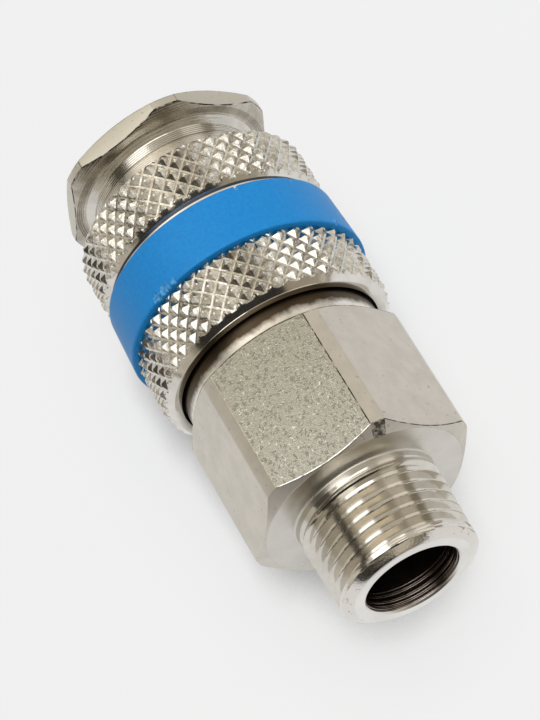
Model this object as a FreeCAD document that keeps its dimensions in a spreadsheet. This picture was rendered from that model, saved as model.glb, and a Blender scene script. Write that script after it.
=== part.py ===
import FreeCAD, Part
import math
import os

import Sketcher

# A quick-release socket for an air hose: a taper-threaded hexagon body, a socket body with a
# hexagon collar, and a knurled sleeve with a soft band that frees six locking balls when it is
# pushed towards the collar. All lengths are millimetres. The axis is X, from the thread's end
# face at X = 0 to the mouth of the socket, and one flat of the body's hexagon faces +Z.

SIZES = {
    # Taper thread: its crest cone, and the groove that is cut into it along a helix.
    "thread_pitch": 1.337,
    "thread_depth_share": 0.64,
    "thread_root_share": 0.08,
    "thread_flank_slope": 0.52,
    "thread_cutter_overshoot": 0.15,
    "thread_turns": 7.5,
    "thread_start": 0.75,
    "thread_start_radius": 8.154,
    "thread_end": 10.0,
    "thread_taper": 0.03125,
    "thread_nose_drop": 1.354,
    "thread_face_width": 1.25,
    "shank_rise": 0.176,
    "shank_end": 11.05,
    # Hexagon of the rear body.
    "hex_across_flats": 24.0,
    "hex_corner_rise": 1.4,
    "hex_face_inset": 0.15,
    "hex_length": 17.33,
    "hex_chamfer_slope": 0.577,
    "flat_cutter_reach": 4.0,
    # Front of the rear body, inside the sleeve.
    "shoulder_inset": 0.3,
    "shoulder_length": 3.22,
    "boss_step": 1.0,
    "boss_length": 1.75,
    "chamber_wall": 2.1,
    "chamber_start": 18.5,
    # Socket body.
    "spigot_clearance": 0.05,
    "spigot_wall": 1.95,
    "spring_land_step": 0.5,
    "spring_land_length": 9.85,
    "neck_step": 1.1,
    "neck_length": 14.8,
    "neck_flare": 0.8,
    "collar_across_flats": 24.0,
    "collar_corner_rise": 1.1,
    "collar_face_inset": 0.1,
    "collar_strip": 1.02,
    "collar_twist_deg": 53.3,
    "mouth_wall": 3.6,
    "mouth_length": 8.7,
    "mouth_chamfer": 0.8,
    "guide_step": 0.3,
    "guide_length": 8.0,
    "tip_bore_step": 1.2,
    "tip_bore_length": 7.0,
    "throat_step": 0.7,
    "throat_length": 3.0,
    # Seals.
    "plug_seal_section": 1.2,
    "plug_seal_setback": 3.0,
    "seal_groove_play": 0.1,
    "body_seal_section": 0.65,
    "body_seal_setback": 3.4,
    "valve_seal_section": 0.9,
    "valve_seal_play": 0.05,
    # Locking balls and the cone that works them.
    "ball_count": 6,
    "ball_radius": 2.5,
    "ball_setback": 12.6,
    "ball_rest_rise": 1.5,
    "ball_play": 0.05,
    "ball_lip_width": 0.25,
    "ball_lip_wall": 0.35,
    "cone_slope": 0.2222,
    "cone_play": 0.12,
    # Sleeve.
    "sleeve_rear_gap": 2.42,
    "sleeve_length": 22.4,
    "sleeve_skirt_clearance": 0.65,
    "sleeve_skirt_length": 6.2,
    "sleeve_wall": 0.9,
    "sleeve_cavity_step": 0.75,
    "sleeve_guide_clearance": 0.1,
    "rear_knurl_length": 7.45,
    "front_knurl_length": 6.65,
    "knurl_end_margin": 0.1,
    "knurl_end_chamfer": 0.3,
    "knurl_root_rise": 0.1,
    "knurl_depth": 0.72,
    "knurl_seat_depth": 0.25,
    "knurl_teeth": 45,
    "rear_knurl_rows": 7,
    "front_knurl_rows": 6,
    # Soft band in the sleeve's groove.
    "band_rear_gap": 0.3,
    "band_front_gap": 1.1,
    "band_front_thickness": 0.9,
    "band_rear_thickness": 1.25,
    # Sleeve spring, its two washers and the ring that carries the rear one.
    "washer_thickness": 0.8,
    "washer_bore_clearance": 0.15,
    "washer_rim_clearance": 0.2,
    "rear_washer_play": 0.05,
    "circlip_thickness": 0.95,
    "circlip_bore_clearance": 0.25,
    "circlip_bite": 0.35,
    "circlip_play": 0.05,
    "sleeve_spring_wire": 0.45,
    "sleeve_spring_clearance": 0.75,
    "sleeve_spring_turns": 3.5,
    # Valve.
    "guide_disc_clearance": 0.1,
    "guide_disc_thickness": 1.9,
    "stem_radius": 2.0,
    "stem_clearance": 0.1,
    "stem_setback": 0.5,
    "air_hole_count": 6,
    "air_hole_radius": 1.1,
    "air_hole_wall": 1.1,
    "poppet_head_clearance": 0.5,
    "poppet_head_length": 2.7,
    "poppet_seat_gap": 0.3,
    "poppet_tube_clearance": 0.4,
    "poppet_tube_length": 4.3,
    "poppet_tube_wall": 1.2,
    "port_count": 4,
    "port_radius": 1.2,
    "port_position": 2.0,
    "valve_spring_wire": 0.4,
    "valve_spring_clearance": 1.4,
    "valve_spring_turns": 5.0,
}


class Size:
    """A number together with the sheet expression that it stands for."""

    def __init__(self, number, text):
        self.number = number
        self.text = text

    def joined(self, sign, other, number):
        return Size(number, "(%s %s %s)" % (self.text, sign, as_size(other).text))

    def __add__(self, other):
        return self.joined("+", other, self.number + as_size(other).number)

    def __sub__(self, other):
        return self.joined("-", other, self.number - as_size(other).number)

    def __mul__(self, other):
        return self.joined("*", other, self.number * as_size(other).number)

    def __truediv__(self, other):
        return self.joined("/", other, self.number / as_size(other).number)


def as_size(value):
    return value if isinstance(value, Size) else Size(float(value), repr(float(value)))


class Sheet:
    """The spreadsheet of driving sizes, each readable as an attribute."""

    def __init__(self, document):
        self.cells = document.addObject("Spreadsheet::Sheet", "sizes")
        for row, (alias, number) in enumerate(SIZES.items(), start=1):
            self.cells.set("A%d" % row, alias)
            self.cells.set("B%d" % row, str(number))
            self.cells.setAlias("B%d" % row, alias)
            setattr(self, alias, Size(float(number), "sizes.%s" % alias))


doc = FreeCAD.newDocument("hose_coupling")
size = Sheet(doc)
doc.recompute()

AXIS_TURN = FreeCAD.Rotation(FreeCAD.Vector(0, 1, 0), 90)
NODES = []


def node(feature, label):
    feature.Label = label
    NODES.append(feature)
    return feature


def origin_feature(body, role):
    return next(item for item in body.Origin.OriginFeatures if item.Role == role)


def new_sketch(body, name, role):
    sketch = body.newObject("Sketcher::SketchObject", name)
    sketch.AttachmentSupport = [(origin_feature(body, role), "")]
    sketch.MapMode = "FlatFace"
    return sketch


def bind_point(sketch, geometry, end, across, up):
    """Hold one end of a line at the sketch coordinates across, up."""
    for kind, axis, coordinate in (("DistanceX", -2, across), ("DistanceY", -1, up)):
        coordinate = as_size(coordinate)
        if coordinate.number == 0:
            sketch.addConstraint(Sketcher.Constraint("PointOnObject", geometry, end, axis))
            continue
        index = sketch.addConstraint(
            Sketcher.Constraint(kind, -1, 1, geometry, end, coordinate.number)
        )
        sketch.setExpression("Constraints[%d]" % index, coordinate.text)


def add_outline(sketch, points):
    """Draw a closed outline through points, each a pair of sizes."""
    corners = [
        FreeCAD.Vector(as_size(across).number, as_size(up).number, 0) for across, up in points
    ]
    lines = [
        sketch.addGeometry(Part.LineSegment(start, end), False)
        for start, end in zip(corners, corners[1:] + corners[:1])
    ]
    for line, following in zip(lines, lines[1:] + lines[:1]):
        sketch.addConstraint(Sketcher.Constraint("Coincident", line, 2, following, 1))
    for line, (across, up) in zip(lines, points):
        bind_point(sketch, line, 1, across, up)


def add_circle(sketch, across, up, radius):
    """Draw a circle of the given radius about the point across, up."""
    centre = FreeCAD.Vector(as_size(across).number, as_size(up).number, 0)
    circle = sketch.addGeometry(
        Part.Circle(centre, FreeCAD.Vector(0, 0, 1), radius.number), False
    )
    bind_point(sketch, circle, 3, across, up)
    index = sketch.addConstraint(Sketcher.Constraint("Radius", circle, radius.number))
    sketch.setExpression("Constraints[%d]" % index, radius.text)


def turned_body(name, outline):
    """Turn an outline of (X, radius) pairs about the X axis."""
    body = doc.addObject("PartDesign::Body", name)
    sketch = new_sketch(body, name + "_outline", "XZ_Plane")
    add_outline(sketch, outline)
    turning = body.newObject("PartDesign::Revolution", name + "_turning")
    turning.Profile = sketch
    turning.ReferenceAxis = (sketch, ["H_Axis"])
    turning.Angle = 360
    doc.recompute()
    return body


def repeat_about_axis(body, name, features, count):
    """Repeat cuts around the X axis and make the pattern the body's tip."""
    pattern = body.newObject("PartDesign::PolarPattern", name)
    pattern.Originals = features
    pattern.Axis = (origin_feature(body, "X_Axis"), [""])
    pattern.Angle = 360
    if isinstance(count, Size):
        pattern.setExpression("Occurrences", count.text)
        pattern.Occurrences = int(count.number)
    else:
        pattern.Occurrences = count
    body.Tip = pattern
    doc.recompute()
    return pattern


def cut_flats(body, name, across_flats, corner_radius, start, length, twist=None):
    """Mill six flats into a turned body between start and start + length."""
    before = body.Shape.Volume
    sketch = new_sketch(body, name + "_outline", "YZ_Plane")
    half_width = corner_radius
    near = across_flats / 2
    far = corner_radius + size.flat_cutter_reach
    corners = [(-half_width.number, near.number), (half_width.number, near.number)]
    corners += [(half_width.number, far.number), (-half_width.number, far.number)]
    vectors = [FreeCAD.Vector(across, up, 0) for across, up in corners]
    lines = [
        sketch.addGeometry(Part.LineSegment(start_point, end_point), False)
        for start_point, end_point in zip(vectors, vectors[1:] + vectors[:1])
    ]
    for line, following in zip(lines, lines[1:] + lines[:1]):
        sketch.addConstraint(Sketcher.Constraint("Coincident", line, 2, following, 1))
    sketch.addConstraint(Sketcher.Constraint("Vertical", lines[1]))
    sketch.addConstraint(Sketcher.Constraint("Horizontal", lines[2]))
    sketch.addConstraint(Sketcher.Constraint("Symmetric", lines[0], 1, lines[0], 2, -2))
    sketch.addConstraint(Sketcher.Constraint("Vertical", lines[3]))
    for kind, point, distance in (
        ("DistanceX", (lines[0], 2), half_width),
        ("DistanceY", (lines[0], 2), near),
        ("DistanceY", (lines[1], 2), far),
    ):
        index = sketch.addConstraint(Sketcher.Constraint(kind, -1, 1, *point, distance.number))
        sketch.setExpression("Constraints[%d]" % index, distance.text)
    turn = twist.number if twist else 0.0
    sketch.AttachmentOffset = FreeCAD.Placement(
        FreeCAD.Vector(0, 0, start.number), FreeCAD.Rotation(FreeCAD.Vector(0, 0, 1), turn)
    )
    sketch.setExpression("AttachmentOffset.Base.z", start.text)
    if twist:
        sketch.setExpression("AttachmentOffset.Rotation.Angle", twist.text)
    flat = body.newObject("PartDesign::Pocket", name)
    flat.Profile = sketch
    flat.Type = "Length"
    flat.Length = length.number
    flat.setExpression("Length", length.text)
    flat.Reversed = True
    doc.recompute()
    repeat_about_axis(body, name + "_round", [flat], 6)
    if body.Shape.Volume >= before:
        raise RuntimeError("the flats of %s cut nothing" % name)


def radial_cut(body, name, position, radius, bottom):
    """Cut one hole upwards through the wall, from height bottom above the axis."""
    before = body.Shape.Volume
    sketch = new_sketch(body, name + "_outline", "XY_Plane")
    add_circle(sketch, position, 0, radius)
    if bottom is not None:
        sketch.AttachmentOffset = FreeCAD.Placement(
            FreeCAD.Vector(0, 0, bottom.number), FreeCAD.Rotation()
        )
        sketch.setExpression("AttachmentOffset.Base.z", bottom.text)
    hole = body.newObject("PartDesign::Pocket", name)
    hole.Profile = sketch
    hole.Type = "ThroughAll"
    hole.Reversed = True
    doc.recompute()
    if body.Shape.Volume >= before:
        raise RuntimeError("%s cuts nothing" % name)
    return hole


def ring_seal(label, position, ring_radius, section):
    """An O-ring about the X axis."""
    ring = doc.addObject("Part::Torus", label)
    ring.setExpression("Radius1", ring_radius.text)
    ring.setExpression("Radius2", section.text)
    ring.Placement = FreeCAD.Placement(FreeCAD.Vector(position.number, 0, 0), AXIS_TURN)
    ring.setExpression("Placement.Base.x", position.text)
    return node(ring, label)


def coil_spring(label, start, length, ring_radius, wire, turns):
    """A helical spring whose wire lies between start and start + length."""
    body = doc.addObject("PartDesign::Body", label)
    sketch = new_sketch(body, label + "_wire", "XZ_Plane")
    add_circle(sketch, start + wire, ring_radius, wire)
    doc.recompute()
    coil = body.newObject("PartDesign::AdditiveHelix", label + "_coil")
    coil.Profile = sketch
    coil.ReferenceAxis = (sketch, ["H_Axis"])
    coil.Mode = "height-turns-angle"
    rise = length - wire * 2
    coil.Height = rise.number
    coil.setExpression("Height", rise.text)
    coil.Turns = turns.number
    coil.setExpression("Turns", turns.text)
    coil.LeftHanded = False
    doc.recompute()
    return node(body, label)


# Positions along the axis, from the thread's end face.
hex_start = size.shank_end
hex_end = hex_start + size.hex_length
shoulder_end = hex_end + size.shoulder_length
boss_end = shoulder_end + size.boss_length
spring_land_end = boss_end + size.spring_land_length
neck_flare_start = spring_land_end + size.neck_length
collar_start = neck_flare_start + size.neck_flare
collar_corner_radius = size.collar_across_flats / 2 + size.collar_corner_rise
collar_face_radius = size.collar_across_flats / 2 - size.collar_face_inset
collar_slope = (collar_corner_radius - collar_face_radius) * size.hex_chamfer_slope
collar_strip_start = collar_start + collar_slope
collar_strip_end = collar_strip_start + size.collar_strip
mouth_face = collar_strip_end + collar_slope
guide_start = mouth_face - size.mouth_length
tip_bore_start = guide_start - size.guide_length
throat_start = tip_bore_start - size.tip_bore_length
valve_seat = throat_start - size.throat_length
ball_position = mouth_face - size.ball_setback
sleeve_rear = hex_end + size.sleeve_rear_gap
sleeve_front = sleeve_rear + size.sleeve_length
skirt_end = sleeve_rear + size.sleeve_skirt_length
rear_knurl_start = sleeve_rear + size.knurl_end_margin
rear_knurl_end = rear_knurl_start + size.rear_knurl_length
front_knurl_end = sleeve_front - size.knurl_end_margin
front_knurl_start = front_knurl_end - size.front_knurl_length
guide_disc_end = size.chamber_start + size.guide_disc_thickness
spigot_start = guide_disc_end + size.guide_disc_clearance
rear_washer_start = boss_end + size.rear_washer_play
rear_washer_end = rear_washer_start + size.washer_thickness
front_washer_start = spring_land_end - size.washer_thickness
circlip_end = rear_washer_start - size.circlip_play
circlip_start = circlip_end - size.circlip_thickness

# Radii that follow from others.
thread_tip_radius = size.thread_start_radius - size.thread_nose_drop
inlet_bore_radius = thread_tip_radius - size.thread_face_width
shank_radius = size.thread_start_radius + size.shank_rise
hex_corner_radius = size.hex_across_flats / 2 + size.hex_corner_rise
hex_face_radius = size.hex_across_flats / 2 - size.hex_face_inset
shoulder_radius = size.hex_across_flats / 2 - size.shoulder_inset
boss_radius = shoulder_radius - size.boss_step
chamber_radius = boss_radius - size.chamber_wall
spigot_radius = chamber_radius - size.spigot_clearance
spigot_bore = spigot_radius - size.spigot_wall
spring_land_radius = chamber_radius + size.spring_land_step
neck_radius = spring_land_radius + size.neck_step
mouth_radius = neck_radius - size.mouth_wall
guide_radius = mouth_radius - size.guide_step
tip_bore_radius = guide_radius - size.tip_bore_step
throat_radius = tip_bore_radius - size.throat_step
body_seal_ring = chamber_radius - size.body_seal_section
plug_seal_ring = tip_bore_radius + size.plug_seal_section / 2
ball_ring_radius = guide_radius + size.ball_rest_rise
sleeve_guide_radius = neck_radius + size.sleeve_guide_clearance
sleeve_skirt_radius = shoulder_radius + size.sleeve_skirt_clearance
sleeve_core_radius = sleeve_skirt_radius + size.sleeve_wall
sleeve_cavity_radius = sleeve_skirt_radius - size.sleeve_cavity_step
knurl_root_radius = sleeve_core_radius + size.knurl_root_rise
knurl_tip_radius = knurl_root_radius + size.knurl_depth
knurl_seat_radius = sleeve_core_radius - size.knurl_seat_depth
circlip_inner_radius = boss_radius + size.circlip_bore_clearance
circlip_outer_radius = sleeve_skirt_radius + size.circlip_bite
poppet_tube_radius = throat_radius - size.poppet_tube_clearance
poppet_head_radius = spigot_bore - size.poppet_head_clearance


def cut_thread(body):
    """Cut the thread's groove along a helix that keeps to the taper, from outside the end face."""
    start = size.thread_pitch * -0.5
    crest = size.thread_start_radius + (start - size.thread_start) * size.thread_taper
    depth = size.thread_pitch * size.thread_depth_share
    root_half = size.thread_pitch * size.thread_root_share
    mouth = crest + size.thread_cutter_overshoot
    mouth_half = root_half + (depth + size.thread_cutter_overshoot) * size.thread_flank_slope
    sketch = new_sketch(body, "thread_groove", "XZ_Plane")
    add_outline(
        sketch,
        [
            (start - mouth_half, mouth),
            (start - root_half, crest - depth),
            (start + root_half, crest - depth),
            (start + mouth_half, mouth),
        ],
    )
    doc.recompute()
    groove = body.newObject("PartDesign::SubtractiveHelix", "thread_cut")
    groove.Profile = sketch
    groove.ReferenceAxis = (sketch, ["H_Axis"])
    groove.Mode = "pitch-turns-angle"
    groove.Pitch = size.thread_pitch.number
    groove.setExpression("Pitch", size.thread_pitch.text)
    groove.Turns = size.thread_turns.number
    groove.setExpression("Turns", size.thread_turns.text)
    groove.Angle = math.degrees(math.atan(size.thread_taper.number))
    groove.setExpression("Angle", "atan(%s)" % size.thread_taper.text)
    groove.LeftHanded = False
    doc.recompute()


def make_rear_body():
    """Taper-threaded end, hexagon, and the stepped front that the sleeve runs over."""
    thread_rise = (size.thread_end - size.thread_start) * size.thread_taper
    rear_chamfer = (hex_corner_radius - hex_face_radius) * size.hex_chamfer_slope
    front_chamfer = (hex_corner_radius - shoulder_radius) * size.hex_chamfer_slope
    body = turned_body(
        "rear_body",
        [
            (0, inlet_bore_radius),
            (0, thread_tip_radius),
            (size.thread_start, size.thread_start_radius),
            (size.thread_end, size.thread_start_radius + thread_rise),
            (size.thread_end, shank_radius),
            (hex_start, shank_radius),
            (hex_start, hex_face_radius),
            (hex_start + rear_chamfer, hex_corner_radius),
            (hex_end - front_chamfer, hex_corner_radius),
            (hex_end, shoulder_radius),
            (shoulder_end, shoulder_radius),
            (shoulder_end, boss_radius),
            (boss_end, boss_radius),
            (boss_end, chamber_radius),
            (size.chamber_start, chamber_radius),
            (size.chamber_start, inlet_bore_radius),
        ],
    )
    cut_thread(body)
    cut_flats(
        body, "body_flat", size.hex_across_flats, hex_corner_radius, hex_start, size.hex_length
    )
    return node(body, "rear_body")


def make_socket_body():
    """Spigot, spring land, neck, hexagon collar, stepped bore and the ball holes."""
    groove_half = size.plug_seal_section + size.seal_groove_play / 2
    plug_seal = tip_bore_start - size.plug_seal_setback
    body_seal = boss_end - size.body_seal_setback
    body_groove_half = size.body_seal_section + size.seal_groove_play
    body_groove_radius = chamber_radius - size.body_seal_section * 2
    plug_groove_radius = plug_seal_ring + size.plug_seal_section
    flare_radius = neck_radius + size.neck_flare
    body = turned_body(
        "socket_body",
        [
            (spigot_start, spigot_bore),
            (spigot_start, spigot_radius),
            (body_seal - body_groove_half, spigot_radius),
            (body_seal - body_groove_half, body_groove_radius),
            (body_seal + body_groove_half, body_groove_radius),
            (body_seal + body_groove_half, spigot_radius),
            (boss_end, spigot_radius),
            (boss_end, spring_land_radius),
            (spring_land_end, spring_land_radius),
            (spring_land_end, neck_radius),
            (neck_flare_start, neck_radius),
            (collar_start, flare_radius),
            (collar_start, collar_face_radius),
            (collar_strip_start, collar_corner_radius),
            (collar_strip_end, collar_corner_radius),
            (mouth_face, collar_face_radius),
            (mouth_face, mouth_radius + size.mouth_chamfer),
            (mouth_face - size.mouth_chamfer, mouth_radius),
            (guide_start, mouth_radius),
            (guide_start, guide_radius),
            (tip_bore_start, guide_radius),
            (tip_bore_start, tip_bore_radius),
            (plug_seal + groove_half, tip_bore_radius),
            (plug_seal + groove_half, plug_groove_radius),
            (plug_seal - groove_half, plug_groove_radius),
            (plug_seal - groove_half, tip_bore_radius),
            (throat_start, tip_bore_radius),
            (throat_start, throat_radius),
            (valve_seat, throat_radius),
            (valve_seat, spigot_bore),
        ],
    )
    cut_flats(
        body,
        "collar_flat",
        size.collar_across_flats,
        collar_corner_radius,
        collar_start,
        mouth_face - collar_start,
        size.collar_twist_deg,
    )
    lip = radial_cut(body, "ball_lip", ball_position, size.ball_radius - size.ball_lip_width, None)
    hole = radial_cut(
        body,
        "ball_hole",
        ball_position,
        size.ball_radius + size.ball_play,
        guide_radius + size.ball_lip_wall,
    )
    repeat_about_axis(body, "ball_holes", [lip, hole], size.ball_count)
    ring_seal("plug_seal", plug_seal, plug_seal_ring, size.plug_seal_section)
    ring_seal("body_o_ring", body_seal, body_seal_ring, size.body_seal_section)
    return node(body, "socket_body")


def make_balls():
    """Locking balls in their rest position, standing into the socket's bore."""
    count = int(size.ball_count.number)
    for index in range(count):
        label = "locking_ball_%d" % (index + 1)
        ball = doc.addObject("Part::Sphere", label)
        ball.setExpression("Radius", size.ball_radius.text)
        ball.setExpression("Placement.Base.x", ball_position.text)
        turn = "%d deg * 360 / %s" % (index, size.ball_count.text)
        ring = ball_ring_radius.text
        ball.setExpression("Placement.Base.y", "-%s * sin(%s)" % (ring, turn))
        ball.setExpression("Placement.Base.z", "%s * cos(%s)" % (ring, turn))
        node(ball, label)


def knurl_rows(start, end, rows, chamfer_start, chamfer_end):
    """Rings of knurl corners: tips and roots alternate around and along the sleeve."""
    steps = 2 * int(size.knurl_teeth.number)
    pitch = (end - start) / rows
    rings = []
    for row in range(rows + 1):
        ring = []
        for step in range(steps):
            is_tip = (row + step) % 2 == 0
            radius = knurl_tip_radius.number if is_tip else knurl_root_radius.number
            along = start + pitch * row
            if is_tip and row == 0:
                along += chamfer_start
            if is_tip and row == rows:
                along -= chamfer_end
            ring.append(ring_point(along, radius, step, steps))
        rings.append(ring)
    return rings


def ring_point(along, radius, step, steps):
    angle = 2 * math.pi * step / steps
    return FreeCAD.Vector(along, radius * math.sin(angle), radius * math.cos(angle))


def facet(*corners):
    return Part.Face(Part.makePolygon(list(corners) + [corners[0]]))


def knurl_faces(rings):
    """The four faces of every knurl pyramid between neighbouring rings."""
    steps = len(rings[0])
    faces = []
    for row in range(len(rings) - 1):
        near, far = rings[row], rings[row + 1]
        for step in range(steps):
            before = (step - 1) % steps
            after = (step + 1) % steps
            if (row + step) % 2 == 0:
                faces.append(facet(near[step], near[after], far[step]))
                faces.append(facet(near[step], far[step], near[before]))
            else:
                faces.append(facet(far[step], far[after], near[step]))
                faces.append(facet(far[step], near[step], far[before]))
    return faces


def knurl_end_faces(ring, row, at, chamfered, seat):
    """Close one end of a knurled ring, with a small facet on each tip where it is chamfered."""
    steps = len(ring)
    faces = []
    rim = list(ring)
    if chamfered:
        rim = [ring[step] for step in range(steps) if (row + step) % 2 == 1]
        for step in range(steps):
            if (row + step) % 2 == 0:
                faces.append(facet(ring[step - 1], ring[step], ring[(step + 1) % steps]))
    inner = [ring_point(at, seat, step, steps) for step in range(steps)]
    outer_wire = Part.makePolygon(rim + [rim[0]])
    inner_wire = Part.makePolygon(inner + [inner[0]])
    end = Part.Face(outer_wire).cut(Part.Face(inner_wire))
    return faces + end.Faces, inner


def knurled_ring(name, start, end, rows, chamfer_start, chamfer_end):
    """A ring of rhombic pyramids, closed at both ends and along its seat."""
    seat = knurl_seat_radius.number
    rings = knurl_rows(start.number, end.number, rows, chamfer_start, chamfer_end)
    faces = knurl_faces(rings)
    start_faces, start_seat = knurl_end_faces(rings[0], 0, start.number, chamfer_start > 0, seat)
    end_faces, end_seat = knurl_end_faces(rings[rows], rows, end.number, chamfer_end > 0, seat)
    faces += start_faces + end_faces
    for step in range(len(start_seat)):
        before = step - 1
        faces.append(facet(start_seat[before], start_seat[step], end_seat[step], end_seat[before]))
    shell = Part.Compound(faces)
    shell.sewShape()
    solid = Part.makeSolid(shell.Shells[0])
    if solid.Volume < 0:
        solid.reverse()
    ring = doc.addObject("Part::Feature", name)
    ring.Shape = solid
    return ring


def make_sleeve():
    """Turned sleeve with its cone and steps, and two knurled bands standing on it."""
    cone_over_ball_radius = ball_ring_radius + size.ball_radius + size.cone_play
    cone_front = ball_position + (cone_over_ball_radius - sleeve_guide_radius) / size.cone_slope
    cone_rear = ball_position - (sleeve_cavity_radius - cone_over_ball_radius) / size.cone_slope
    clip_groove_radius = circlip_outer_radius + size.circlip_play
    clip_groove_start = circlip_start - size.circlip_play
    core = turned_body(
        "sleeve_core",
        [
            (sleeve_rear, sleeve_skirt_radius),
            (sleeve_rear, sleeve_core_radius),
            (sleeve_front, sleeve_core_radius),
            (sleeve_front, sleeve_guide_radius),
            (cone_front, sleeve_guide_radius),
            (cone_rear, sleeve_cavity_radius),
            (skirt_end, sleeve_cavity_radius),
            (skirt_end, sleeve_skirt_radius),
            (circlip_end, sleeve_skirt_radius),
            (circlip_end, clip_groove_radius),
            (clip_groove_start, clip_groove_radius),
            (clip_groove_start, sleeve_skirt_radius),
        ],
    )
    chamfer = size.knurl_end_chamfer.number
    rear = knurled_ring(
        "rear_knurl", rear_knurl_start, rear_knurl_end, int(size.rear_knurl_rows.number), chamfer, 0
    )
    front = knurled_ring(
        "front_knurl", front_knurl_start, front_knurl_end, int(size.front_knurl_rows.number), 0, chamfer
    )
    sleeve = doc.addObject("Part::MultiFuse", "locking_sleeve")
    sleeve.Shapes = [core, rear, front]
    doc.recompute()
    return node(sleeve, "locking_sleeve")


def make_band():
    """Soft band in the groove between the knurled bands, flared towards the rear."""
    rear = rear_knurl_end + size.band_rear_gap
    front = front_knurl_start - size.band_front_gap
    band = turned_body(
        "grip_band",
        [
            (rear, sleeve_core_radius),
            (rear, sleeve_core_radius + size.band_rear_thickness),
            (front, sleeve_core_radius + size.band_front_thickness),
            (front, sleeve_core_radius),
        ],
    )
    return node(band, "grip_band")


def make_flat_ring(label, start, end, inner, outer):
    ring = turned_body(label, [(start, inner), (start, outer), (end, outer), (end, inner)])
    return node(ring, label)


def make_sleeve_spring():
    """Return spring of the sleeve between its two washers, and the ring behind the rear one."""
    bore = spring_land_radius + size.washer_bore_clearance
    rear_rim = sleeve_skirt_radius - size.washer_rim_clearance
    front_rim = sleeve_cavity_radius - size.washer_rim_clearance
    make_flat_ring(
        "rear_spring_washer", rear_washer_start, rear_washer_end, bore, rear_rim
    )
    make_flat_ring(
        "front_spring_washer", front_washer_start, spring_land_end, bore, front_rim
    )
    make_flat_ring(
        "sleeve_circlip",
        circlip_start,
        circlip_end - size.circlip_play,
        circlip_inner_radius,
        circlip_outer_radius,
    )
    coil_spring(
        "sleeve_spring",
        rear_washer_end,
        front_washer_start - rear_washer_end,
        spring_land_radius + size.sleeve_spring_clearance + size.sleeve_spring_wire,
        size.sleeve_spring_wire,
        size.sleeve_spring_turns,
    )


def make_valve_guide():
    """Pierced disc that guides the valve stem and carries the valve spring."""
    body = turned_body(
        "valve_guide",
        [
            (size.chamber_start, size.stem_radius + size.stem_clearance),
            (size.chamber_start, spigot_radius),
            (guide_disc_end, spigot_radius),
            (guide_disc_end, size.stem_radius + size.stem_clearance),
        ],
    )
    before = body.Shape.Volume
    ring_radius = size.stem_radius + size.air_hole_wall + size.air_hole_radius
    sketch = new_sketch(body, "air_hole_outline", "YZ_Plane")
    add_circle(sketch, 0, ring_radius, size.air_hole_radius)
    hole = body.newObject("PartDesign::Pocket", "air_hole")
    hole.Profile = sketch
    hole.Type = "ThroughAll"
    hole.Reversed = True
    doc.recompute()
    repeat_about_axis(body, "air_holes", [hole], size.air_hole_count)
    if body.Shape.Volume >= before:
        raise RuntimeError("the air holes cut nothing")
    return node(body, "valve_guide")


def make_valve():
    """Valve body with its guide stem, seal groove and ported tube, the seal and the spring."""
    head_front = valve_seat - size.poppet_seat_gap
    head_rear = head_front - size.poppet_head_length
    tube_front = head_front + size.poppet_tube_length
    tube_bore = poppet_tube_radius - size.poppet_tube_wall
    stem_end = size.chamber_start + size.stem_setback
    groove_depth = size.valve_seal_section * 2 - size.poppet_seat_gap + size.valve_seal_play
    poppet = turned_body(
        "valve_poppet",
        [
            (stem_end, 0),
            (stem_end, size.stem_radius),
            (head_rear, size.stem_radius),
            (head_rear, poppet_head_radius),
            (head_front - groove_depth, poppet_head_radius),
            (head_front - groove_depth, poppet_tube_radius),
            (tube_front, poppet_tube_radius),
            (tube_front, tube_bore),
            (head_front, tube_bore),
            (head_front, 0),
        ],
    )
    port = radial_cut(poppet, "air_port", head_front + size.port_position, size.port_radius, None)
    repeat_about_axis(poppet, "air_ports", [port], size.port_count)
    node(poppet, "valve_poppet")
    ring_seal(
        "valve_seal",
        head_front - groove_depth + size.valve_seal_section,
        poppet_head_radius - size.valve_seal_section,
        size.valve_seal_section,
    )
    coil_spring(
        "valve_spring",
        guide_disc_end,
        head_rear - guide_disc_end,
        size.stem_radius + size.valve_spring_clearance + size.valve_spring_wire,
        size.valve_spring_wire,
        size.valve_spring_turns,
    )


def check_and_write():
    """Stop on any failed object, then write one file for each piece."""
    doc.recompute()
    for item in doc.Objects:
        if "Invalid" in item.State or "Error" in item.State:
            raise RuntimeError("%s failed: %s" % (item.Label, item.State))
    for item in NODES:
        if item.Shape.isNull() or not item.Shape.isValid() or len(item.Shape.Solids) != 1:
            raise RuntimeError("%s is not one valid solid" % item.Label)
    os.makedirs("parts", exist_ok=True)
    for item in NODES:
        item.Shape.exportStep("parts/%s.step" % item.Label)
        print("%-20s %9.2f mm3" % (item.Label, item.Shape.Volume))


make_rear_body()
make_socket_body()
make_balls()
make_sleeve()
make_band()
make_sleeve_spring()
make_valve_guide()
make_valve()
check_and_write()
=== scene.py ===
"""Looks of the hose coupling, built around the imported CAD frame.

Sizes are in millimetres and become metres where a vertex is made, but the studio's are in
metres. The coupling's axis is X, and an angle about it is measured from +Z toward +Y.
"""

import math

import bmesh
import bpy
from mathutils import Matrix, Vector, noise


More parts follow.
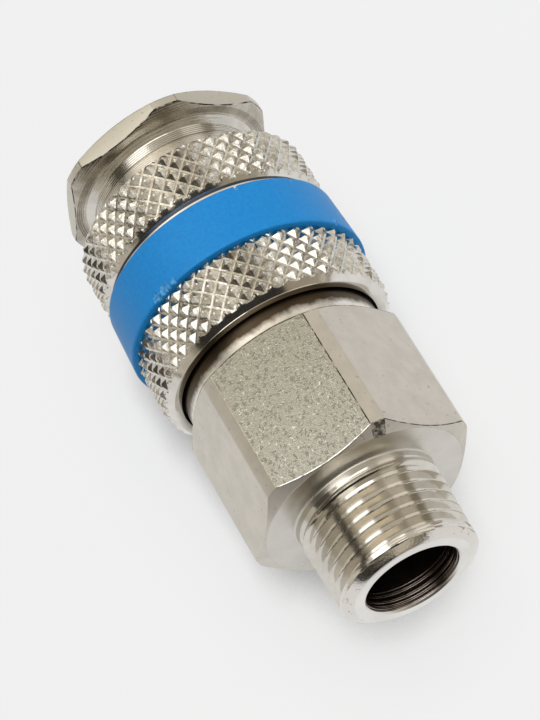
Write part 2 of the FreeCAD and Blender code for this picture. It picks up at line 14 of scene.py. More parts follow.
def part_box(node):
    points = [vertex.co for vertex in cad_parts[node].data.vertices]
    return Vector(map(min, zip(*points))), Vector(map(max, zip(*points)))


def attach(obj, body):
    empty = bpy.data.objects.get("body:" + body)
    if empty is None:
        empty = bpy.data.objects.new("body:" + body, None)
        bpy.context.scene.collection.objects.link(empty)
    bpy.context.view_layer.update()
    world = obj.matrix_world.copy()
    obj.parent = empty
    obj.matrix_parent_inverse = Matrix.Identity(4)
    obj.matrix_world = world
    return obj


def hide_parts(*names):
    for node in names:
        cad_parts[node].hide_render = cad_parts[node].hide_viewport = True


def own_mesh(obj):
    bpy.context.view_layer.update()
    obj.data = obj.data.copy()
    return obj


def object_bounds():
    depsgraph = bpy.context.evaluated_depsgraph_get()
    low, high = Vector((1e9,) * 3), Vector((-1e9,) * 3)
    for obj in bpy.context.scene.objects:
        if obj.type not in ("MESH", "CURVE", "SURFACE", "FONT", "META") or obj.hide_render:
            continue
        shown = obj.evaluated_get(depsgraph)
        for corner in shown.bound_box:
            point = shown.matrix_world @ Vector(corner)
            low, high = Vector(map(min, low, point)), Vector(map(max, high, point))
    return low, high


MM = 0.001
FULL_TURN = 2 * math.pi
SECTOR = math.radians(60)

# How an outline's corners are rounded, and how finely a hexagon is stepped
CORNER_STEPS = 3
CORNER_REACH = 0.45
EDGE_OFFSETS = [math.radians(value) for value in (-0.8, -0.4, -0.15, 0.15, 0.4, 0.8)]
FLAT_STEPS = 20
STRIP_STEPS = 3
WELD_DISTANCE = 1e-8

# Rear body: taper thread, hexagon and the steps under the sleeve
BORE_RADIUS = 5.55
BORE_LENGTH = 18.5
BORE_EDGE = 0.25
TOOL_RIDGE_COUNT = 26
TOOL_RIDGE_PITCH = 0.19
TOOL_RIDGE_HEIGHT = 0.03
TOOL_RIDGE_SLOPE = 0.065
TOOL_RIDGE_FADE = 0.75
TOOL_RIDGE_UNEVEN = 1.2
END_FACE_RADIUS = 6.8
NOSE_START = 0.25
NOSE_SLOPE = 1.805
NOSE_END = 1.05
NOSE_LEAD = 0.7
THREAD_PITCH = 1.337
THREAD_DEPTH = 0.82
THREAD_CREST_START = 8.13
THREAD_TAPER = 1 / 32
THREAD_FADE_START = 8.5
THREAD_END = 10.2
CREST_SEAM = 0.045
# Half the crest and half the root, as shares of the pitch
CREST_SHARE = 0.045
ROOT_SHARE = 0.117
# Where the rows of one pitch lie: from crest to root, and then back to the next crest
FALLING_PHASES = (0.0, 0.02, 0.04, 0.06, 0.08, 0.16, 0.26, 0.36, 0.383, 0.44, 0.5)
THREAD_PHASES = (*FALLING_PHASES, *(1 - phase for phase in reversed(FALLING_PHASES[1:-1])))
CREST_TEAR = 0.05
TEAR_FALLOFF = 8
TEARS_PER_MM = 3.5
FLANK_CURVE = 1.05
SHANK_RADIUS = 8.33
HEX_START = 11.05
HEX_END = 28.38
HEX_FACE_RADIUS = 11.85
HEX_ACROSS_FLATS = 24.0
HEX_CORNER_RADIUS = 13.4
CHAMFER_SLOPE = 0.577
# Half the width of the line at a flat's border, a painted highlight on the rear hexagon's left and darker
# elsewhere, and the painted shade strip under a chamfer's edge
EDGE_LINE = math.radians(0.3)
EDGE_SHADE = 0.07
SHOULDER_RADIUS = 11.85
SHOULDER_END = 31.6
BOSS_RADIUS = 10.7
BOSS_END = 33.35
CHAMBER_RADIUS = 8.6
# Painted shade on the shoulder: where it starts and ends along the axis, and how ragged its edge is
SHOULDER_SHADE_START = 28.75
SHOULDER_SHADE_END = 30.35
SHOULDER_SHADE_RAGGED = 0.9

# Socket body: spigot, spring land, neck, hexagon collar and stepped bore. A groove has the places of
# its two walls and the radius of its floor.
SPIGOT_START = 20.5
SPIGOT_RADIUS = 8.55
O_RING_GROOVE = (29.2, 30.7, 7.3)
LAND_RADIUS = 9.1
LAND_END = 43.2
NECK_RADIUS = 10.2
NECK_END = 58.0
RELIEF_START = 56.5
RELIEF_RADIUS = 9.95
RELIEF_RAMP = 0.35
RELIEF_RIDGE_START = 0.45
RELIEF_RIDGE_COUNT = 4
RELIEF_RIDGE_PITCH = 0.26
RELIEF_RIDGE_HEIGHT = 0.03
COLLAR_START = 58.8
COLLAR_ROOT_RADIUS = 11.0
COLLAR_FACE_RADIUS = 11.9
COLLAR_CORNER_RADIUS = 13.1
COLLAR_ACROSS_FLATS = 24.0
COLLAR_TWIST = math.radians(6.7)
COLLAR_END = 61.205
MOUTH_RADIUS = 6.6
MOUTH_EDGE = 0.8
MOUTH_DEPTH = 52.505
GUIDE_RADIUS = 6.3
GUIDE_DEPTH = 44.505
TIP_RADIUS = 5.1
TIP_DEPTH = 37.505
SEAL_GROOVE = (42.75, 40.25, 6.9)
THROAT_RADIUS = 4.4
THROAT_DEPTH = 34.505
BALL_PLACE = 48.605
BALL_HOLE_RADIUS = 2.55
BALL_LIP_RADIUS = 2.25
BALL_LIP_HEIGHT = 6.65
BALL_COUNT = 6
HOLE_SIDES = 48
CUT_REACH = 1.0
CUT_OVERLAP = 0.5

# Sleeve: two diamond-knurled bands on a turned ring, each with its start, its end and its rows of teeth
SLEEVE_START = 30.8
SLEEVE_END = 53.2
SLEEVE_CORE_RADIUS = 13.25
LAND_EDGE = 46.08
KNURL_TIP_RADIUS = 14.07
KNURL_ROOT_RADIUS = 13.51
KNURL_HEIGHT = 0.65
KNURL_STEPS = 90
KNURL_SPLIT = 6
KNURL_AROUND = KNURL_STEPS * KNURL_SPLIT
KNURL_PHASE = 3
REAR_KNURL = (30.9, 38.35, 7)
FRONT_KNURL = (46.45, 53.1, 6)
KNURL_CHAMFER_SLOPE = 1.0
KNURL_END_RADIUS = 13.7
REAR_RIM_RADIUS = 13.05
KNURL_FLOOR_LEVEL = 0.15
KNURL_TIP_LEVEL = 0.86
KNURL_JITTER = 0.04
SKIRT_RADIUS = 12.35
LIP_RADIUS = 12.12
LIP_END = 31.3
SKIRT_END = 37.0
CIRCLIP_GROOVE = (33.35, 32.35, 12.75)
CAVITY_RADIUS = 11.6
CONE_START = 43.29
CONE_END = 49.14
SLEEVE_GUIDE_RADIUS = 10.3

# Blue band in the sleeve's groove
BAND_START = 38.42
BAND_END = 45.35
BAND_REAR_RADIUS = 14.5
BAND_FRONT_RADIUS = 14.15
CHIP_SPREAD = 1.7
BAND_EDGE = 0.22
BAND_SHOULDER = 0.6
BAND_CROWN = 0.03
CHIP_SHOWS = 0.05
CHIP_UNEVEN = 0.75
BAND_STEPS = 720
# Chips of the band's rear edge and nicks of its front edge: angle, half width and depth
REAR_CHIPS = ((26.5, 2.4, 0.36), (21.0, 3.0, 0.42), (15.5, 1.2, 0.18), (-70.5, 1.0, 0.2))
FRONT_NICKS = ((-29.5, 0.7, 0.3), (-58.0, 0.7, 0.25))

# Springs: the wire's thickness and the number of turns
SLEEVE_SPRING_WIRE = 0.45
SLEEVE_SPRING_TURNS = 3.5
VALVE_SPRING_WIRE = 0.4
VALVE_SPRING_TURNS = 5
COIL_STEPS = 48
WIRE_SIDES = 14

# The photograph's camera, found from the thread end, the band and the collar in the picture
CAMERA_PLACE = (-137.459, -32.455, 293.974)
CAMERA_RIGHT = (-0.448586, -0.821573, -0.351835)
CAMERA_UP = (0.742955, -0.561610, 0.364160)
CAMERA_AIM = (0.496778, 0.098040, -0.862323)
CAMERA_LENS = 154.9
SENSOR = 36.0

# Studio, in metres
LAMP_TARGET = (0.03, 0.0, 0.0)
FLOOR_SIZE = 1.6
FLOOR_PAINT = (0.93, 0.93, 0.93, 1.0)
PALE = (0.872, 0.872, 0.872, 1.0)
SHADOW_SHARE = 0.15
# Painted contact shadow on the floor, from occlusion: how far it reaches, its darkest tone and the side it
# leans from
PAINTED_SHADOW_REACH = 0.012
PAINTED_SHADOW_TONE = (0.16, 0.155, 0.145)
PAINTED_SHADOW_LEAN = {"X": -0.25, "Y": -0.45, "Z": 0.86}
FILL_STRENGTH = 0.4
BLACK_TONE = (0.03, 0.027, 0.024)
SHADE_TONE = (0.08, 0.07, 0.055)
# Tone of the painted shadow on the floor beside the thread, which only mirror rays see
MIRRORED_SHADOW_TONE = (0.46, 0.42, 0.35)

# Broad clouds on the milled flats, and the short marks on the pitted one
CLOUD_GRAIN = 2.2
SCRATCH_GRAIN = 0.6
SCRATCH_WIDTH = 0.012
SCRATCH_SPACING = 0.5

# Blender's wave texture runs through 20 radians in one unit of length at scale 1
WAVE_RADIANS = 20

# Layers of the fixed noise, and the steps by which its places move on
TOOTH_LAYER = 0.5
TOOTH_STEPS = (1.7, 2.3)
GRAIN_LAYER = 7.5
GRAIN_STEP = 2.1
RIDGE_LAYER = 2.5
RIDGE_STEP = 1.7
CHIP_LAYER = 3.5
CHIP_STEP = 0.7
NOISE_LINE = 0.5

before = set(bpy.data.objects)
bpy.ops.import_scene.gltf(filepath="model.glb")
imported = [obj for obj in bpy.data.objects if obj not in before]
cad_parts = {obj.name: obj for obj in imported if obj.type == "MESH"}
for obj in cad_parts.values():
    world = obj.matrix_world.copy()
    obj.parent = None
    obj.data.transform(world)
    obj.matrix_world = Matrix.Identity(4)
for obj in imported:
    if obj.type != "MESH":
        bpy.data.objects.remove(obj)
cad_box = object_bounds()


def ring_point(x, radius, angle):
    """The point at a distance from the axis, in metres."""
    return Vector((x, radius * math.sin(angle), radius * math.cos(angle))) * MM


def clamp(value, low, high):
    """The value, held between two limits."""
    return max(low, min(high, value))


def uneven(along, across, layer):
    """A fixed noise between about -1 and 1 for a place on one of several layers."""
    return noise.noise(Vector((along, across, layer)))


def softened(outline):
    """Rounds the corners of an outline of (x, radius, finish, rounding) points.

    A finish is what the stretch after the corner gets. A pair also names the corner's own finish.
    """
    points = []
    for index, (x, radius, finish, rounding) in enumerate(outline):
        edge, finish = finish if isinstance(finish, tuple) else (finish, finish)
        if not rounding:
            points.append((x, radius, finish))
            continue
        corner = Vector((x, radius))
        before = Vector(outline[index - 1][:2]) - corner
        after = Vector(outline[(index + 1) % len(outline)][:2]) - corner
        start = corner + before.normalized() * min(rounding, before.length * CORNER_REACH)
        end = corner + after.normalized() * min(rounding, after.length * CORNER_REACH)
        for step in range(CORNER_STEPS + 1):
            part = step / CORNER_STEPS
            point = start * (1 - part) ** 2 + corner * 2 * part * (1 - part) + end * part**2
            points.append((point.x, point.y, edge if step < CORNER_STEPS else finish))
    return points


def hexagon_limit(angle, across_flats, corner_radius, twist=0.0, softness=0.06):
    """How far a hexagon with turned corners reaches from the axis, with its edges eased."""
    offset = (angle - twist + SECTOR / 2) % SECTOR - SECTOR / 2
    flat = across_flats / 2 / math.cos(offset)
    return (flat + corner_radius - math.hypot(flat - corner_radius, softness)) / 2


def spread(start, end, count):
    """Evenly spaced values between two ends, without the ends."""
    return [start + (end - start) * (index + 1) / (count + 1) for index in range(count)]


def hexagon_angles(across_flats, corner_radius, twist=0.0):
    """Angles around a hexagon, closer together at the edges of its flats."""
    half = math.acos(across_flats / 2 / corner_radius)
    first, last = EDGE_OFFSETS[0], EDGE_OFFSETS[-1]
    angles = []
    for side in range(6):
        low_edge = twist + side * SECTOR - half
        high_edge = twist + side * SECTOR + half
        next_edge = twist + (side + 1) * SECTOR - half
        angles += [low_edge + offset for offset in EDGE_OFFSETS]
        angles += spread(low_edge + last, high_edge + first, FLAT_STEPS)
        angles += [high_edge + offset for offset in EDGE_OFFSETS]
        angles += spread(high_edge + last, next_edge + first, STRIP_STEPS)
    return angles


def even_angles(count):
    """Evenly spaced angles around the axis."""
    return [FULL_TURN * index / count for index in range(count)]


def add_turned(mesh, section, angles, finishes, closed=True):
    """Adds the surface that section(angle) sweeps around the axis, with its named finishes."""
    slots = list(finishes)
    sections = [section(angle) for angle in angles]
    columns = []
    for angle, points in zip(angles, sections):
        columns.append([mesh.verts.new(ring_point(x, radius, angle)) for x, radius, _ in points])
    rows = len(columns[0])
    for index, here in enumerate(columns):
        there = columns[(index + 1) % len(columns)]
        for row in range(rows if closed else rows - 1):
            after = (row + 1) % rows
            face = mesh.faces.new((here[row], here[after], there[after], there[row]))
            face.material_index = slots.index(sections[index][row][2])
            face.smooth = True


def add_object(name, data):
    """Puts a mesh, lamp or camera into the scene."""
    item = bpy.data.objects.new(name, data)
    bpy.context.scene.collection.objects.link(item)
    return item


def make_piece(name, mesh, materials, body, node, sharp_angle=40.0):
    """Turns a finished mesh into an object that stands for a CAD node."""
    bmesh.ops.remove_doubles(mesh, verts=mesh.verts, dist=WELD_DISTANCE)
    bmesh.ops.recalc_face_normals(mesh, faces=mesh.faces)
    data = bpy.data.meshes.new(name)
    mesh.to_mesh(data)
    mesh.free()
    for material in materials:
        data.materials.append(material)
    data.set_sharp_from_angle(angle=math.radians(sharp_angle))
    piece = add_object(name, data)
    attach(piece, body)
    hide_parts(node)
    return piece


# Materials


def add_node(tree, kind, settings=None, sockets=None):
    """Adds a node, with its settings and the values of its sockets."""
    node = tree.nodes.new(kind)
    for name, value in (settings or {}).items():
        setattr(node, name, value)
    for name, value in (sockets or {}).items():
        node.inputs[name].default_value = value
    return node


def two_tone(tree, source, low, high, dark, light):
    """A ramp from a dark to a light colour, driven by a grey value."""
    ramp = add_node(tree, "ShaderNodeValToRGB")
    ramp.color_ramp.elements[0].position = low
    ramp.color_ramp.elements[0].color = (*dark, 1.0)
    ramp.color_ramp.elements[1].position = high
    ramp.color_ramp.elements[1].color = (*light, 1.0)
    tree.links.new(source, ramp.inputs["Fac"])
    return ramp.outputs["Color"]


def noise_value(tree, place, grain, detail=3.0, roughness=0.55):
    """Noise with features of a grain in millimetres."""
    sockets = {"Scale": 1 / (grain * MM), "Detail": detail, "Roughness": roughness}
    texture = add_node(tree, "ShaderNodeTexNoise", sockets=sockets)
    tree.links.new(place, texture.inputs["Vector"])
    return texture.outputs["Fac"]


def turning_lines(tree, place, spacing, rings):
    """Tool lines around the axis, on a cylinder or, as rings, on a face."""
    kind = "RINGS" if rings else "BANDS"
    settings = {"wave_type": kind, "bands_direction": "X", "rings_direction": "X"}
    wobble = 0.4 if rings else 1.5
    scale = FULL_TURN / (WAVE_RADIANS * spacing * MM)
    sockets = {"Scale": scale, "Distortion": wobble, "Detail": 2.0}
    texture = add_node(tree, "ShaderNodeTexWave", settings, sockets)
    tree.links.new(place, texture.inputs["Vector"])
    return texture.outputs["Fac"]


def add_relief(tree, shader, heights):
    """Adds bumps one on the other, each a grey value, a depth in millimetres and a strength."""
    below = None
    for value, depth, strength in heights:
        sockets = {"Strength": strength, "Distance": depth * MM}
        bump = add_node(tree, "ShaderNodeBump", sockets=sockets)
        tree.links.new(value, bump.inputs["Height"])
        if below:
            tree.links.new(below, bump.inputs["Normal"])
        below = bump.outputs["Normal"]
    tree.links.new(below, shader.inputs["Normal"])


def add_gloss(tree, shader, source, smooth, rough):
    """Lets the roughness drift between two values."""
    drift = add_node(tree, "ShaderNodeMapRange", sockets={"To Min": smooth, "To Max": rough})
    tree.links.new(source, drift.inputs["Value"])
    tree.links.new(drift.outputs["Result"], shader.inputs["Roughness"])


def start_material(name):
    """A material with its node tree, its shader and the object's own coordinates."""
    material = bpy.data.materials.new(name)
    material.use_nodes = True
    tree = material.node_tree
    place = add_node(tree, "ShaderNodeTexCoord").outputs["Object"]
    return material, tree, tree.nodes["Principled BSDF"], place


def empty_tree(owner):
    """The node tree of a material or world, with nothing in it."""
    owner.use_nodes = True
    owner.node_tree.nodes.clear()
    return owner.node_tree


def clouded(tree, place, tone, share):
    """A colour that broad soft clouds darken by up to a share."""
    limits = {"From Min": 0.38, "From Max": 0.62, "To Min": 1 - share, "To Max": 1.0}
    drift = add_node(tree, "ShaderNodeMapRange", sockets=limits)
    tree.links.new(noise_value(tree, place, CLOUD_GRAIN, detail=4.0), drift.inputs["Value"])
    scaled = add_node(tree, "ShaderNodeVectorMath", {"operation": "SCALE"})
    tree.links.new(tone, scaled.inputs["Vector"])
    tree.links.new(drift.outputs["Result"], scaled.inputs["Scale"])
    return scaled.outputs["Vector"]


def metal(
    name,
    dark,
    light,
    gloss,
    grain=0.25,
    patch=4.0,
    turning_points=(0.35, 0.65),
    cloud=0.0,
    depth=0.004,
    strength=0.3,
    lines=None,
    line_gain=1.0,
    rings=False,
    anisotropic=0.0,
):
    """Metal with patchy tone, a fine grain and, where it was turned, tool lines."""
    material, tree, shader, place = start_material(name)
    shader.inputs["Metallic"].default_value = 1.0
    shader.inputs["Anisotropic"].default_value = anisotropic
    patches = noise_value(tree, place, patch)
    tone = two_tone(tree, patches, *turning_points, dark, light)
    if cloud:
        tone = clouded(tree, place, tone, cloud)
    tree.links.new(tone, shader.inputs["Base Color"])
    add_gloss(tree, shader, patches, *gloss)
    heights = [(noise_value(tree, place, grain), depth, strength)]
    if lines:
        heights.append((turning_lines(tree, place, lines, rings), depth * line_gain, strength))
    add_relief(tree, shader, heights)
    if anisotropic:
        tangent = add_node(tree, "ShaderNodeTangent", {"direction_type": "RADIAL", "axis": "X"})
        tree.links.new(tangent.outputs["Tangent"], shader.inputs["Tangent"])
    return material


def scratches(tree, place):
    """Short thin marks: pieces of the contour lines of a noise."""
    level = add_node(tree, "ShaderNodeMath", {"operation": "COMPARE"})
    tree.links.new(noise_value(tree, place, SCRATCH_GRAIN, detail=1.0), level.inputs[0])
    level.inputs[1].default_value = 0.5
    level.inputs[2].default_value = SCRATCH_WIDTH
    spots = noise_value(tree, place, SCRATCH_SPACING, detail=1.0)
    piece = two_tone(tree, spots, 0.52, 0.58, (0, 0, 0), (1, 1, 1))
    both = add_node(tree, "ShaderNodeMath", {"operation": "MULTIPLY"})
    tree.links.new(level.outputs[0], both.inputs[0])
    tree.links.new(piece, both.inputs[1])
    return both.outputs[0]


def pitted_metal(name):
    """The blasted flat: dull, olive grey and full of small pits."""
    material, tree, shader, place = start_material(name)
    shader.inputs["Metallic"].default_value = 1.0
    grain = noise_value(tree, place, 0.2, detail=2.0)
    pits = noise_value(tree, place, 0.38, detail=2.5, roughness=0.6)
    ground = two_tone(tree, pits, 0.35, 0.42, (0, 0, 0), (1, 1, 1))
    tone = two_tone(tree, pits, 0.33, 0.42, (0.29, 0.282, 0.24), (0.375, 0.366, 0.314))
    scratched = add_node(tree, "ShaderNodeMixRGB", sockets={"Color2": (0.68, 0.67, 0.61, 1.0)})
    tree.links.new(scratches(tree, place), scratched.inputs["Fac"])
    tree.links.new(tone, scratched.inputs["Color1"])
    tree.links.new(scratched.outputs["Color"], shader.inputs["Base Color"])
    add_gloss(tree, shader, pits, 0.4, 0.24)
    add_relief(tree, shader, [(grain, 0.06, 0.9), (ground, 0.028, 0.8)])
    return material


def shoulder_shade_metal(name):
    """The shoulder: painted shade, light beside the hexagon and dark brown toward the sleeve, where it runs
    into the gap under the sleeve's rim.
    """
    material, tree, shader, place = start_material(name)
    shader.inputs["Metallic"].default_value = 1.0
    shader.inputs["Roughness"].default_value = 0.32
    split = add_node(tree, "ShaderNodeSeparateXYZ")
    tree.links.new(place, split.inputs["Vector"])
    # Painted shade: darkens toward the sleeve, made ragged by a noise
    limits = {"From Min": SHOULDER_SHADE_START * MM, "From Max": SHOULDER_SHADE_END * MM}
    shade_ramp = add_node(tree, "ShaderNodeMapRange", sockets=limits)
    tree.links.new(split.outputs["X"], shade_ramp.inputs["Value"])
    blot = noise_value(tree, place, 1.2, detail=5.0, roughness=0.65)
    ragged = add_node(tree, "ShaderNodeMath", {"operation": "MULTIPLY_ADD"})
    tree.links.new(blot, ragged.inputs[0])
    ragged.inputs[1].default_value = SHOULDER_SHADE_RAGGED
    tree.links.new(shade_ramp.outputs["Result"], ragged.inputs[2])
    tone = two_tone(tree, ragged.outputs[0], 0.48, 1.0, (0.84, 0.81, 0.75), (0.10, 0.075, 0.05))
    tree.links.new(tone, shader.inputs["Base Color"])
    add_relief(tree, shader, [(noise_value(tree, place, 0.2), 0.01, 0.3)])
    return material


def plastic(name, dark, light, gloss, grain, depth=0.02, strength=0.25):
    """Moulded plastic or rubber with a faint grain."""
    material, tree, shader, place = start_material(name)
    speckle = noise_value(tree, place, grain, detail=4.0)
    tree.links.new(two_tone(tree, speckle, 0.35, 0.7, dark, light), shader.inputs["Base Color"])
    add_gloss(tree, shader, speckle, *gloss)
    add_relief(tree, shader, [(speckle, depth, strength)])
    shader.inputs["Specular IOR Level"].default_value = 0.22
    return material


# Nickel plate, by how the metal under it was worked
TURNED = metal(
    "nickel_turned",
    (0.57, 0.545, 0.495),
    (0.71, 0.685, 0.635),
    gloss=(0.16, 0.26),
    lines=0.12,
    anisotropic=0.6,
)
FACED = metal(
    "nickel_faced",
    (0.63, 0.605, 0.555),
    (0.69, 0.665, 0.615),
    gloss=(0.25, 0.31),
    patch=3.0,
    lines=0.26,
    line_gain=3.0,
    rings=True,
    anisotropic=0.75,
)
END_FACE = metal(
    "nickel_end",
    (0.77, 0.75, 0.715),
    (0.85, 0.83, 0.795),
    gloss=(0.25, 0.35),
    lines=0.14,
    rings=True,
)
THREADED = metal(
    "nickel_thread",
    (0.60, 0.57, 0.51),
    (0.72, 0.69, 0.63),
    gloss=(0.10, 0.18),
    grain=0.3,
    depth=0.006,
)
NOSE = metal(
    "nickel_nose",
    (0.36, 0.33, 0.29),
    (0.74, 0.71, 0.66),
    gloss=(0.1, 0.18),
    grain=0.3,
    patch=0.9,
    turning_points=(0.26, 0.38),
    depth=0.02,
    strength=0.5,
)
RIM = metal("nickel_rim", (0.62, 0.595, 0.54), (0.76, 0.735, 0.685), gloss=(0.10, 0.16), depth=0.003)
FLAT = metal(
    "nickel_flat",
    (0.50, 0.46, 0.40),
    (0.69, 0.653, 0.592),
    gloss=(0.42, 0.52),
    patch=0.7,
    turning_points=(0.26, 0.36),
    cloud=0.08,
    depth=0.012,
    strength=0.5,
)
COLLAR = metal(
    "nickel_collar",
    (0.30, 0.28, 0.24),
    (0.63, 0.60, 0.525),
    gloss=(0.42, 0.52),
    patch=0.42,
    turning_points=(0.27, 0.36),
    depth=0.02,
    strength=0.5,
)
NECK = metal(
    "nickel_neck",
    (0.56, 0.535, 0.48),
    (0.70, 0.67, 0.615),
    gloss=(0.13, 0.2),
    depth=0.014,
    strength=0.6,
    lines=0.24,
    anisotropic=0.3,
)
# Painted shade: the collar's back face and back chamfer are darker than the neck, standing for the shadowed
# floor they mirror; the collar flats' border lines use it too
STEP = metal(
    "nickel_shaded_step",
    (0.37, 0.335, 0.275),
    (0.58, 0.545, 0.48),
    gloss=(0.2, 0.3),
    patch=2.4,
    depth=0.02,
    strength=0.6,
    lines=0.25,
    rings=True,
    anisotropic=0.5,
)
KNURLED = metal(
    "nickel_knurl",
    (0.48, 0.455, 0.395),
    (0.74, 0.715, 0.665),
    gloss=(0.12, 0.22),
    grain=0.2,
    patch=0.45,
    depth=0.025,
    strength=0.6,
)
BORE = metal(
    "bore_metal",
    (0.22, 0.18, 0.16),
    (0.36, 0.31, 0.275),
    gloss=(0.18, 0.28),
    grain=0.3,
    depth=0.006,
)
PITTED = pitted_metal("nickel_pitted")
# The shoulder's finish carries painted shade toward the sleeve
SHOULDER = shoulder_shade_metal("nickel_shoulder")

# Edges, corners and gaps, several with painted highlights and shade
# Painted highlight: the light border lines of the rear hexagon's left flats
HIGHLIGHT_LINE = metal("nickel_highlight_line", (0.70, 0.66, 0.50), (0.86, 0.82, 0.66), gloss=(0.3, 0.4), grain=0.3)
# Painted shade with the band's blue mirrored in it: the dark navy floor of the sleeve between the band and
# the front knurl
GAP = metal("groove_shade", (0.05, 0.055, 0.07), (0.10, 0.105, 0.125), gloss=(0.25, 0.35), grain=0.2)
CORNER = metal(
    "nickel_corner",
    (0.10, 0.09, 0.08),
    (0.52, 0.50, 0.455),
    gloss=(0.25, 0.35),
    patch=0.5,
    turning_points=(0.42, 0.62),
    depth=0.03,
    strength=0.6,
)
# Light dashes on the top flat's rear edge: partly worn plating and partly a painted highlight
EDGE = metal(
    "nickel_edge_wear_and_glint",
    (0.25, 0.24, 0.21),
    (0.92, 0.90, 0.85),
    gloss=(0.2, 0.3),
    grain=0.2,
    patch=0.55,
    turning_points=(0.36, 0.52),
    depth=0.03,
    strength=0.6,
)
# Dark edges with light breaks: partly wear and partly painted shade, which the rear hexagon's rear edge
# keeps to the right side
WORN_AND_SHADED = metal(
    "nickel_worn_and_shaded",
    (0.05, 0.047, 0.04),
    (0.75, 0.72, 0.66),
    gloss=(0.22, 0.35),
    grain=0.2,
    patch=1.1,
    turning_points=(0.48, 0.72),
    depth=0.03,
    strength=0.6,
)
# Painted shade: the dark strip under the top flat's rear edge
SHADE_STRIP = metal(
    "nickel_shade_strip",
    (0.02, 0.018, 0.016),
    (0.20, 0.18, 0.15),
    gloss=(0.3, 0.4),
    grain=0.2,
    patch=0.8,
    turning_points=(0.45, 0.7),
)

# Inner pieces and the band
RING_STEEL = metal("ring_steel", (0.42, 0.40, 0.37), (0.55, 0.53, 0.5), gloss=(0.25, 0.38), grain=0.2)
BLACK_STEEL = metal("circlip_steel", (0.03, 0.03, 0.03), (0.06, 0.058, 0.055), gloss=(0.35, 0.5), grain=0.2)
SPRING_STEEL = metal("spring_steel", (0.34, 0.33, 0.31), (0.46, 0.45, 0.43), gloss=(0.25, 0.35), grain=0.2)
BALL_STEEL = metal(
    "ball_steel",
    (0.6, 0.6, 0.6),
    (0.68, 0.68, 0.68),
    gloss=(0.05, 0.1),
    grain=0.3,
    strength=0.05,
)
BRASS = metal("valve_brass", (0.56, 0.40, 0.17), (0.70, 0.52, 0.25), gloss=(0.2, 0.32), lines=0.15)
RUBBER = plastic("seal_rubber", (0.01, 0.01, 0.011), (0.022, 0.022, 0.023), gloss=(0.55, 0.7), grain=0.4)
BLUE = plastic("band_blue", (0.003, 0.205, 0.55), (0.005, 0.25, 0.62), gloss=(0.4, 0.5), grain=0.35)
BLUE_CHIP = plastic(
    "band_chip",
    (0.003, 0.15, 0.42),
    (0.12, 0.45, 0.78),
    gloss=(0.3, 0.45),
    grain=0.4,
    depth=0.2,
    strength=0.8,
)


# Rear body


def thread_radius(x, angle):
    """The taper thread's radius, cut by the nose and fading out on the shank."""
    turns = x / THREAD_PITCH + angle / FULL_TURN
    from_crest = abs((turns + 0.5) % 1.0 - 0.5)
    fall = clamp((from_crest - CREST_SHARE) / (0.5 - CREST_SHARE - ROOT_SHARE), 0.0, 1.0)
    drop = 1 - (1 - fall) ** FLANK_CURVE
    fade = clamp((THREAD_END - x) / (THREAD_END - THREAD_FADE_START), 0.0, 1.0)
    crest = THREAD_CREST_START + x * THREAD_TAPER
    crest += (SHANK_RADIUS - crest) * (1 - fade)
    torn = noise.noise(ring_point(x, crest, angle) / MM * TEARS_PER_MM)
    tear = CREST_TEAR * fade * (1 - fall) ** TEAR_FALLOFF * torn
    nose = END_FACE_RADIUS + x * NOSE_SLOPE
    seam = CREST_SEAM * fade * max(0.0, 1 - from_crest / CREST_SHARE)
    lead = clamp((x - NOSE_END) / NOSE_LEAD, 0.0, 1.0)
    return min(crest - lead * (THREAD_DEPTH * fade * drop + seam - tear), nose)


def add_thread(mesh, angles, finishes):
    """Adds the thread as a grid that climbs with the helix, held to the thread's two ends."""
    slots = list(finishes)
    rows_per_pitch = len(THREAD_PHASES)
    rows = math.ceil(THREAD_END / THREAD_PITCH + 1) * rows_per_pitch
    columns = []
    for angle in angles:
        turned = (angle % FULL_TURN) / FULL_TURN
        column = []
        for row in range(rows + 1):
            climb = row // rows_per_pitch + THREAD_PHASES[row % rows_per_pitch] - turned
            x = clamp(climb * THREAD_PITCH, NOSE_START, THREAD_END)
            column.append(mesh.verts.new(ring_point(x, thread_radius(x, angle), angle)))
        columns.append((turned, column))
    columns.sort(key=lambda entry: entry[0])
    columns = [column for _, column in columns]
    quads = []
    for here, there in zip(columns, columns[1:]):
        quads += [(here[row], here[row + 1], there[row + 1], there[row]) for row in range(rows)]
    last, first = columns[-1], columns[0]
    for row in range(rows_per_pitch, rows):
        back = row - rows_per_pitch
        quads.append((last[row], last[row + 1], first[back + 1], first[back]))
    for quad in quads:
        face = mesh.faces.new(quad)
        on_nose = max(vertex.co.x for vertex in quad) < (NOSE_END + NOSE_LEAD / 2) * MM
        face.material_index = slots.index("nose" if on_nose else "thread")
        face.smooth = True


def tool_ridges():
    """Ridges that the boring tool left at the open end of the inlet, each sloping toward the mouth."""
    ridges = []
    for ridge in reversed(range(TOOL_RIDGE_COUNT)):
        x = BORE_EDGE + TOOL_RIDGE_PITCH * (ridge + 0.5)
        ridges.append((x + TOOL_RIDGE_SLOPE * 2, BORE_RADIUS, "bore", 0))
        drift = uneven(ridge * RIDGE_STEP, NOISE_LINE, RIDGE_LAYER)
        height = TOOL_RIDGE_HEIGHT * (1 + TOOL_RIDGE_UNEVEN * drift)
        height *= 1 - TOOL_RIDGE_FADE * ridge / TOOL_RIDGE_COUNT
        ridges.append((x + TOOL_RIDGE_SLOPE, BORE_RADIUS - height, "bore", 0))
        ridges.append((x, BORE_RADIUS, "bore", 0))
    return ridges


